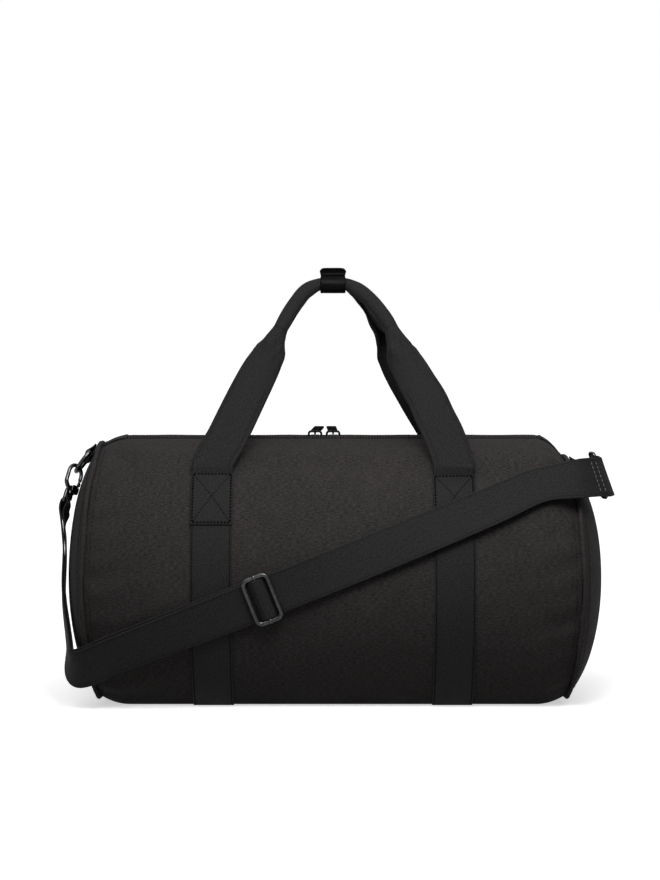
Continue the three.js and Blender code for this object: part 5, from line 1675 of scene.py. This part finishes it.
@dataclass
class ShoulderStrap:
    """The shoulder strap: sewn round the right loop, across the front, round the left loop and back."""

    joints: Joints
    width: float = 38.0
    thickness: float = 1.6
    layer: float = 2.1
    slope: float = 0.394
    mid_height: float = 134.0
    sewn_tail: float = 33.0
    end_lift: float = 4.0
    fold_radius: float = 1.75 + 0.3 + 0.8
    fold_ease: float = 16.0
    return_x: float = -50.0
    slip: float = 1.3
    end_rows: tuple[tuple[float, float], ...] = ((31.0, 33.0), (38.0, 40.0))

    def on_front(self, x: float) -> tuple[Array, Array]:
        """Returns the strap's middle and the way it faces where it lies across the front."""
        lift = 3.8 + FORM.gap + self.thickness / 2 + self.layer / 2 - 1
        z = self.mid_height + self.slope * x
        level = (z - FORM.centre_z) / (FORM.rise + lift)
        depth = math.sqrt(1 - level * level)
        return (np.array([x, -(FORM.half_depth + lift) * depth, z]),
                unit(np.array([0.0, -depth / FORM.half_depth, level / FORM.rise])))

    def line(self) -> tuple[Array, Array, Array, Array]:
        """Returns the doubled strap's middle line, the way it faces, its direction and its length run."""
        right, left = self.joints.loop("right"), self.joints.loop("left")
        inside = placed(np.array([[0, -self.fold_ease / 2, 0], [0, -16, 0.5]]), right)
        corner = FORM.seam_length / 2
        stops = [(right[0], right[1][2]), (inside[0], right[1][2]),
                 (inside[1], mix(right[1][2], np.array([0.5, -0.8, 0.3]), 0.3)),
                 (np.array([corner + 2, -97, 216]), np.array([0.45, -0.8, 0.4]))]
        stops += [self.on_front(x) for x in (190, 150, 110, 60, 10, -40, -90, -140, -180, -206)]
        stops += [(np.array([-corner, -111, 42]), np.array([-0.3, -0.85, -0.4])),
                  (np.array([-corner - 14, -98, 41]), np.array([-0.8, -0.55, -0.25])),
                  (np.array([-corner - 17.5, -80, 64]), np.array([-1, -0.2, -0.1]))]
        stops += [(FORM.off_end("left", y, z, self.end_lift), FORM.end_normal("left", y, z))
                  for y, z in ((-61.0, 104.0), (-44.0, 146.0))]
        stops += [(placed(np.array([0, -self.fold_ease / 2, 0]), left), left[1][2]), (left[0], left[1][2])]
        points = spline(np.array([at for at, _ in stops]), 4000)
        facing = spline(unit(np.array([way for _, way in stops])), 4000)
        run = lengths_along(points)
        at = np.unique(np.concatenate([np.linspace(0, run[-1], 420), np.linspace(0, 20, 30),
                                       run[-1] - np.linspace(0, 20, 30)]))
        pick = np.searchsorted(run, at).clip(0, len(run) - 1)
        line, facing, run = points[pick], facing[pick], run[pick]
        along = directions(line)
        facing = unit(facing - along * np.sum(facing * along, axis=1, keepdims=True))
        return line, facing, along, run

    def layers(self) -> tuple[Array, Array, int]:
        """Returns the whole strap's path and the way it stands: tail, fold, outer layer, fold and return."""
        line, facing, along, run = self.line()
        from_end = np.minimum(run, run[-1] - run)
        half = mix(self.fold_radius, self.layer / 2, ease(from_end, 0, self.fold_ease))[:, None]
        outer = (line + facing * half, facing)
        slip = np.cross(along, facing) * (
            self.slip * ease(from_end, 30, 90) * (1 + 0.4 * np.sin(run / 60)))[:, None]
        under = (line - facing * half + slip, -facing)
        turn = np.radians(np.linspace(0, 180, 14)[1:-1])[:, None]
        first = -facing[0] * np.cos(turn) - along[0] * np.sin(turn)
        last = facing[-1] * np.cos(turn) + along[-1] * np.sin(turn)
        tail = np.flatnonzero(run < self.sewn_tail)[::-1]
        back = np.flatnonzero((line[:, 0] < self.return_x) & (np.arange(len(run)) > len(run) // 3))[::-1]
        rows = [(under[0][tail], under[1][tail]), (line[0] + first * self.fold_radius, first), outer,
                (line[-1] + last * self.fold_radius, last), (under[0][back], under[1][back])]
        path, up = (np.vstack([row[i] for row in rows]) for i in range(2))
        return path, up, len(tail) + 12

    def build(self) -> None:
        """Makes the strap with its sewn end: two slanted rows of long stitches."""
        path, up, start = self.layers()
        run = lengths_along(path)
        section = stadium(self.width, self.thickness, flat=13)
        cup = 0.5 * (1 - (2 * section[:, 0] / self.width) ** 2)
        calm = np.minimum(ease(run, 60, 130), 1 - ease(run, run[-1] - 60, run[-1]))
        sections = np.broadcast_to(section, (len(path), *section.shape)).copy()
        sections[..., 1] += cup * (0.6 * calm * np.sin(run / 37) - 0.2)[:, None]
        work = Work()
        work.loft(sweep(path, sections, up))
        along = directions(path)
        across = np.cross(along, up)
        for off in (-self.width / 2 + 2.4, self.width / 2 - 2.4):
            edge = path + across * off + up * (self.thickness / 2 + 0.05)
            work.stitches(edge[start:-2], up[start:-2], STRAP_SEAM)
        for first, last in self.end_rows:
            share = np.linspace(-1, 1, 30)
            at = run[start] + mix(first, last, (share + 1) / 2)
            middle, side, out = (at_lengths(run, rows, at) for rows in (path, across, up))
            row = middle + side * share[:, None] * (self.width / 2 - 4) + out * (self.thickness / 2 + 0.2)
            work.stitches(row, out, STRAP_END_SEAM)
        work.make("strap_webbing", [WEBBING, THREAD_AND_HOLE_SHADE, CORD], "strap", "shoulder_strap_webbing")


@dataclass
class Adjuster:
    """The strap's slide adjuster: a rectangle of wire with a fixed bar and a hump of webbing over it.

    Raised is how much higher its wire stands than the CAD's, and stout how many times as thick it is.
    """

    joints: Joints
    length: float = 27.0
    wire: float = 1.7
    corner: float = 5.0
    ride: float = 0.9
    raised: float = 0.6
    stout: float = 1.3
    strap_width: float = 38.0
    strap_thickness: float = 1.6

    def frame(self) -> Frame:
        """Returns the adjuster's frame, on the webbing: across it, along it and away from the bag."""
        corners, middle = self.joints.corners("adjuster_frame"), self.joints.middle("adjuster_frame")
        along = self.joints.axis("adjuster_slide")
        if along[0] < 0:
            along = -along
        spread = corners - corners.mean(0)
        spread = spread - np.outer(spread @ along, along)
        widest = np.linalg.svd(spread, full_matrices=False)[2][0]
        normal = unit(np.cross(along, widest))
        if normal[1] > 0:
            normal = -normal
        return frame_of(middle - normal * (self.wire + self.ride), along, normal)

    def build(self) -> None:
        """Makes the frame, the bar with a band round the wire at each end, and the hump."""
        frame = self.frame()
        lift = self.wire + self.ride
        width = self.strap_width + 4 * FORM.gap + 2 * self.wire
        length = self.length - 2 * self.wire
        flat = rounded_box(width, length, self.corner, 7)
        wire = placed(wire_round(flat, 120, lift + self.raised), frame)
        work = Work()
        work.tube(wire, self.wire * self.stout, frame[1][2], closed=True, sides=16)
        work.make("adjuster_frame_metal", [SATIN], "adjuster", "adjuster_frame")

        reach = width / 2 - self.wire - 0.2
        x = np.linspace(-reach, reach, 30)
        radius = (self.wire - FORM.gap) * (1 + 0.25 * ease(np.abs(x), reach - 2.5, reach - 1.0))
        bar = np.column_stack([x, np.zeros(30), lift + self.raised * ease(np.abs(x), reach - 5, reach)])
        work = Work()
        work.tube(placed(bar, frame), radius, frame[1][2], sides=16)
        for way in (-1, 1):
            band = np.array([[way * width / 2, y, lift + self.raised] for y in (-1.3, -0.9, 0.9, 1.3)])
            work.tube(placed(band, frame), self.wire * np.array([1.35, 1.6, 1.6, 1.35]), frame[1][2], sides=16)
        work.make("adjuster_bar_metal", [SATIN], "adjuster", "adjuster_bar")

        crest = lift + self.wire - FORM.gap + 0.3 + self.strap_thickness / 2
        foot = self.ride + self.strap_thickness / 2 + 0.25
        share = np.linspace(-1, 1, 44)
        run = length / 2 - self.corner
        hump = np.column_stack([np.zeros(44), share * run, mix(foot, crest, ease(1 - np.abs(share), 0, 0.72))])
        work = Work()
        work.loft(sweep(placed(hump, frame), stadium(self.strap_width, self.strap_thickness, flat=13),
                        frame[1][2]))
        work.make("adjuster_hump", [WEBBING], "adjuster", "adjuster_strap_fold")


# ---------------------------------------------------------------- studio


@dataclass
class Studio:
    """The camera, a plain pale floor and soft light."""

    camera_at: tuple[float, float, float] = (-0.0028, -2.4953, 0.3982)
    tilt: float = 86.5
    lens: float = 106.6
    floor_size: float = 60.0
    floor_glow: float = 0.55
    floor_shade: float = 0.95
    floor_bounce: float = 0.3
    world_ambient: float = 0.16
    world_gloss: float = 0.45
    sun: float = 1.35
    sun_spread: float = 80.0
    sun_turn: tuple[float, float] = (22.0, -4.0)
    lamps: tuple[tuple[str, tuple[float, float, float], float, float], ...] = (
        ("near_lamp", (0.04, -0.56, 0.72), 0.36, 4.7),
        ("front_lamp", (-0.6, -2.3, 2.2), 1.2, 3.0),
        ("back_lamp", (0.8, 2.2, 1.5), 1.6, 5.0))

    def camera(self) -> None:
        """Makes the camera, level with the bag and a little above it."""
        data = bpy.data.cameras.new("camera")
        data.lens, data.sensor_width = self.lens, 36.0
        camera = bpy.data.objects.new("camera", data)
        camera.location = self.camera_at
        camera.rotation_euler = (math.radians(self.tilt), 0, 0)
        bpy.context.collection.objects.link(camera)
        bpy.context.scene.camera = camera

    def floor(self) -> None:
        """Makes the floor: white to the camera and in reflections, and still darkened by the bag's shadow."""
        mesh = bpy.data.meshes.new("floor")
        h = self.floor_size / 2
        mesh.from_pydata([(-h, -h, 0), (h, -h, 0), (h, h, 0), (-h, h, 0)], [], [(0, 1, 2, 3)])
        material = bpy.data.materials.new("floor")
        material.use_nodes = True
        hand = Nodes(material.node_tree)
        shader = material.node_tree.nodes["Principled BSDF"]
        shader.inputs["Roughness"].default_value = 0.9
        shader.inputs["Specular IOR Level"].default_value = 0.0
        ray = hand.add("ShaderNodeLightPath")
        shade = hand.add("ShaderNodeMix", data_type="RGBA")
        shade.inputs["A"].default_value = (self.floor_bounce,) * 3 + (1,)
        shade.inputs["B"].default_value = (self.floor_shade,) * 3 + (1,)
        hand.link(ray.outputs["Is Camera Ray"], shade.inputs["Factor"])
        hand.link(shade.outputs["Result"], shader.inputs["Base Color"])
        seen = hand.math("MAXIMUM", ray.outputs["Is Camera Ray"], ray.outputs["Is Glossy Ray"])
        seen = hand.math("MAXIMUM", seen, ray.outputs["Is Transmission Ray"])
        glow = hand.add("ShaderNodeEmission")
        hand.link(hand.math("MULTIPLY", seen, self.floor_glow), glow.inputs["Strength"])
        both = hand.add("ShaderNodeAddShader")
        hand.link(shader.outputs[0], both.inputs[0])
        hand.link(glow.outputs[0], both.inputs[1])
        hand.link(both.outputs[0], material.node_tree.nodes["Material Output"].inputs["Surface"])
        mesh.materials.append(material)
        floor = bpy.data.objects.new("floor", mesh)
        bpy.context.collection.objects.link(floor)

    def world(self) -> None:
        """Makes the background white to the camera and in glossy and transmitted light, dimmer for the rest."""
        world = bpy.data.worlds.new("studio")
        bpy.context.scene.world = world
        world.use_nodes = True
        hand = Nodes(world.node_tree)
        ray = hand.add("ShaderNodeLightPath")
        seen = hand.math("MAXIMUM", ray.outputs["Is Camera Ray"], ray.outputs["Is Transmission Ray"])
        gloss = hand.math("MULTIPLY", ray.outputs["Is Glossy Ray"], self.world_gloss)
        bright = hand.math("MAXIMUM", hand.math("MAXIMUM", seen, gloss), self.world_ambient)
        background = world.node_tree.nodes["Background"]
        background.inputs["Color"].default_value = (1, 1, 1, 1)
        hand.link(bright, background.inputs["Strength"])

    def lamp(self, name: str, at: tuple[float, float, float], size: float, power: float) -> None:
        """Hangs a square soft lamp that shines at the bag's middle."""
        data = bpy.data.lights.new(name, "AREA")
        data.size, data.energy = size, power
        lamp = bpy.data.objects.new(name, data)
        away = unit(np.array(at) - [0, 0, 0.15])
        lamp.location = at
        lamp.rotation_euler = (math.acos(away[2]), 0, math.atan2(away[1], away[0]) + math.pi / 2)
        bpy.context.collection.objects.link(lamp)

    def build(self) -> None:
        """Makes the whole studio."""
        bpy.context.scene.view_settings.view_transform = "Standard"
        self.camera()
        self.floor()
        self.world()
        sun = bpy.data.lights.new("top_light", "SUN")
        sun.energy, sun.angle = self.sun, math.radians(self.sun_spread)
        lamp = bpy.data.objects.new("top_light", sun)
        lamp.rotation_euler = (*np.radians(self.sun_turn), 0)
        bpy.context.collection.objects.link(lamp)
        for name, at, size, power in self.lamps:
            self.lamp(name, at, size, power)


def main() -> None:
    """Builds the bag's looks in order, from the frame outwards."""
    logging.basicConfig(level=logging.INFO, format="%(name)s: %(message)s")
    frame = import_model()
    joints = Joints(frame)
    Studio().build()
    Shell().build(frame["nodes"])
    Zip().build()
    webs = BodyWebs()
    webs.build()
    handles = CarryHandles(webs)
    handles.build()
    HandleWrap(handles).build()
    RingMounts(joints).build()
    SnapHooks(joints).build()
    ShoulderStrap(joints).build()
    Adjuster(joints).build()


if __name__ == "__main__":
    main()
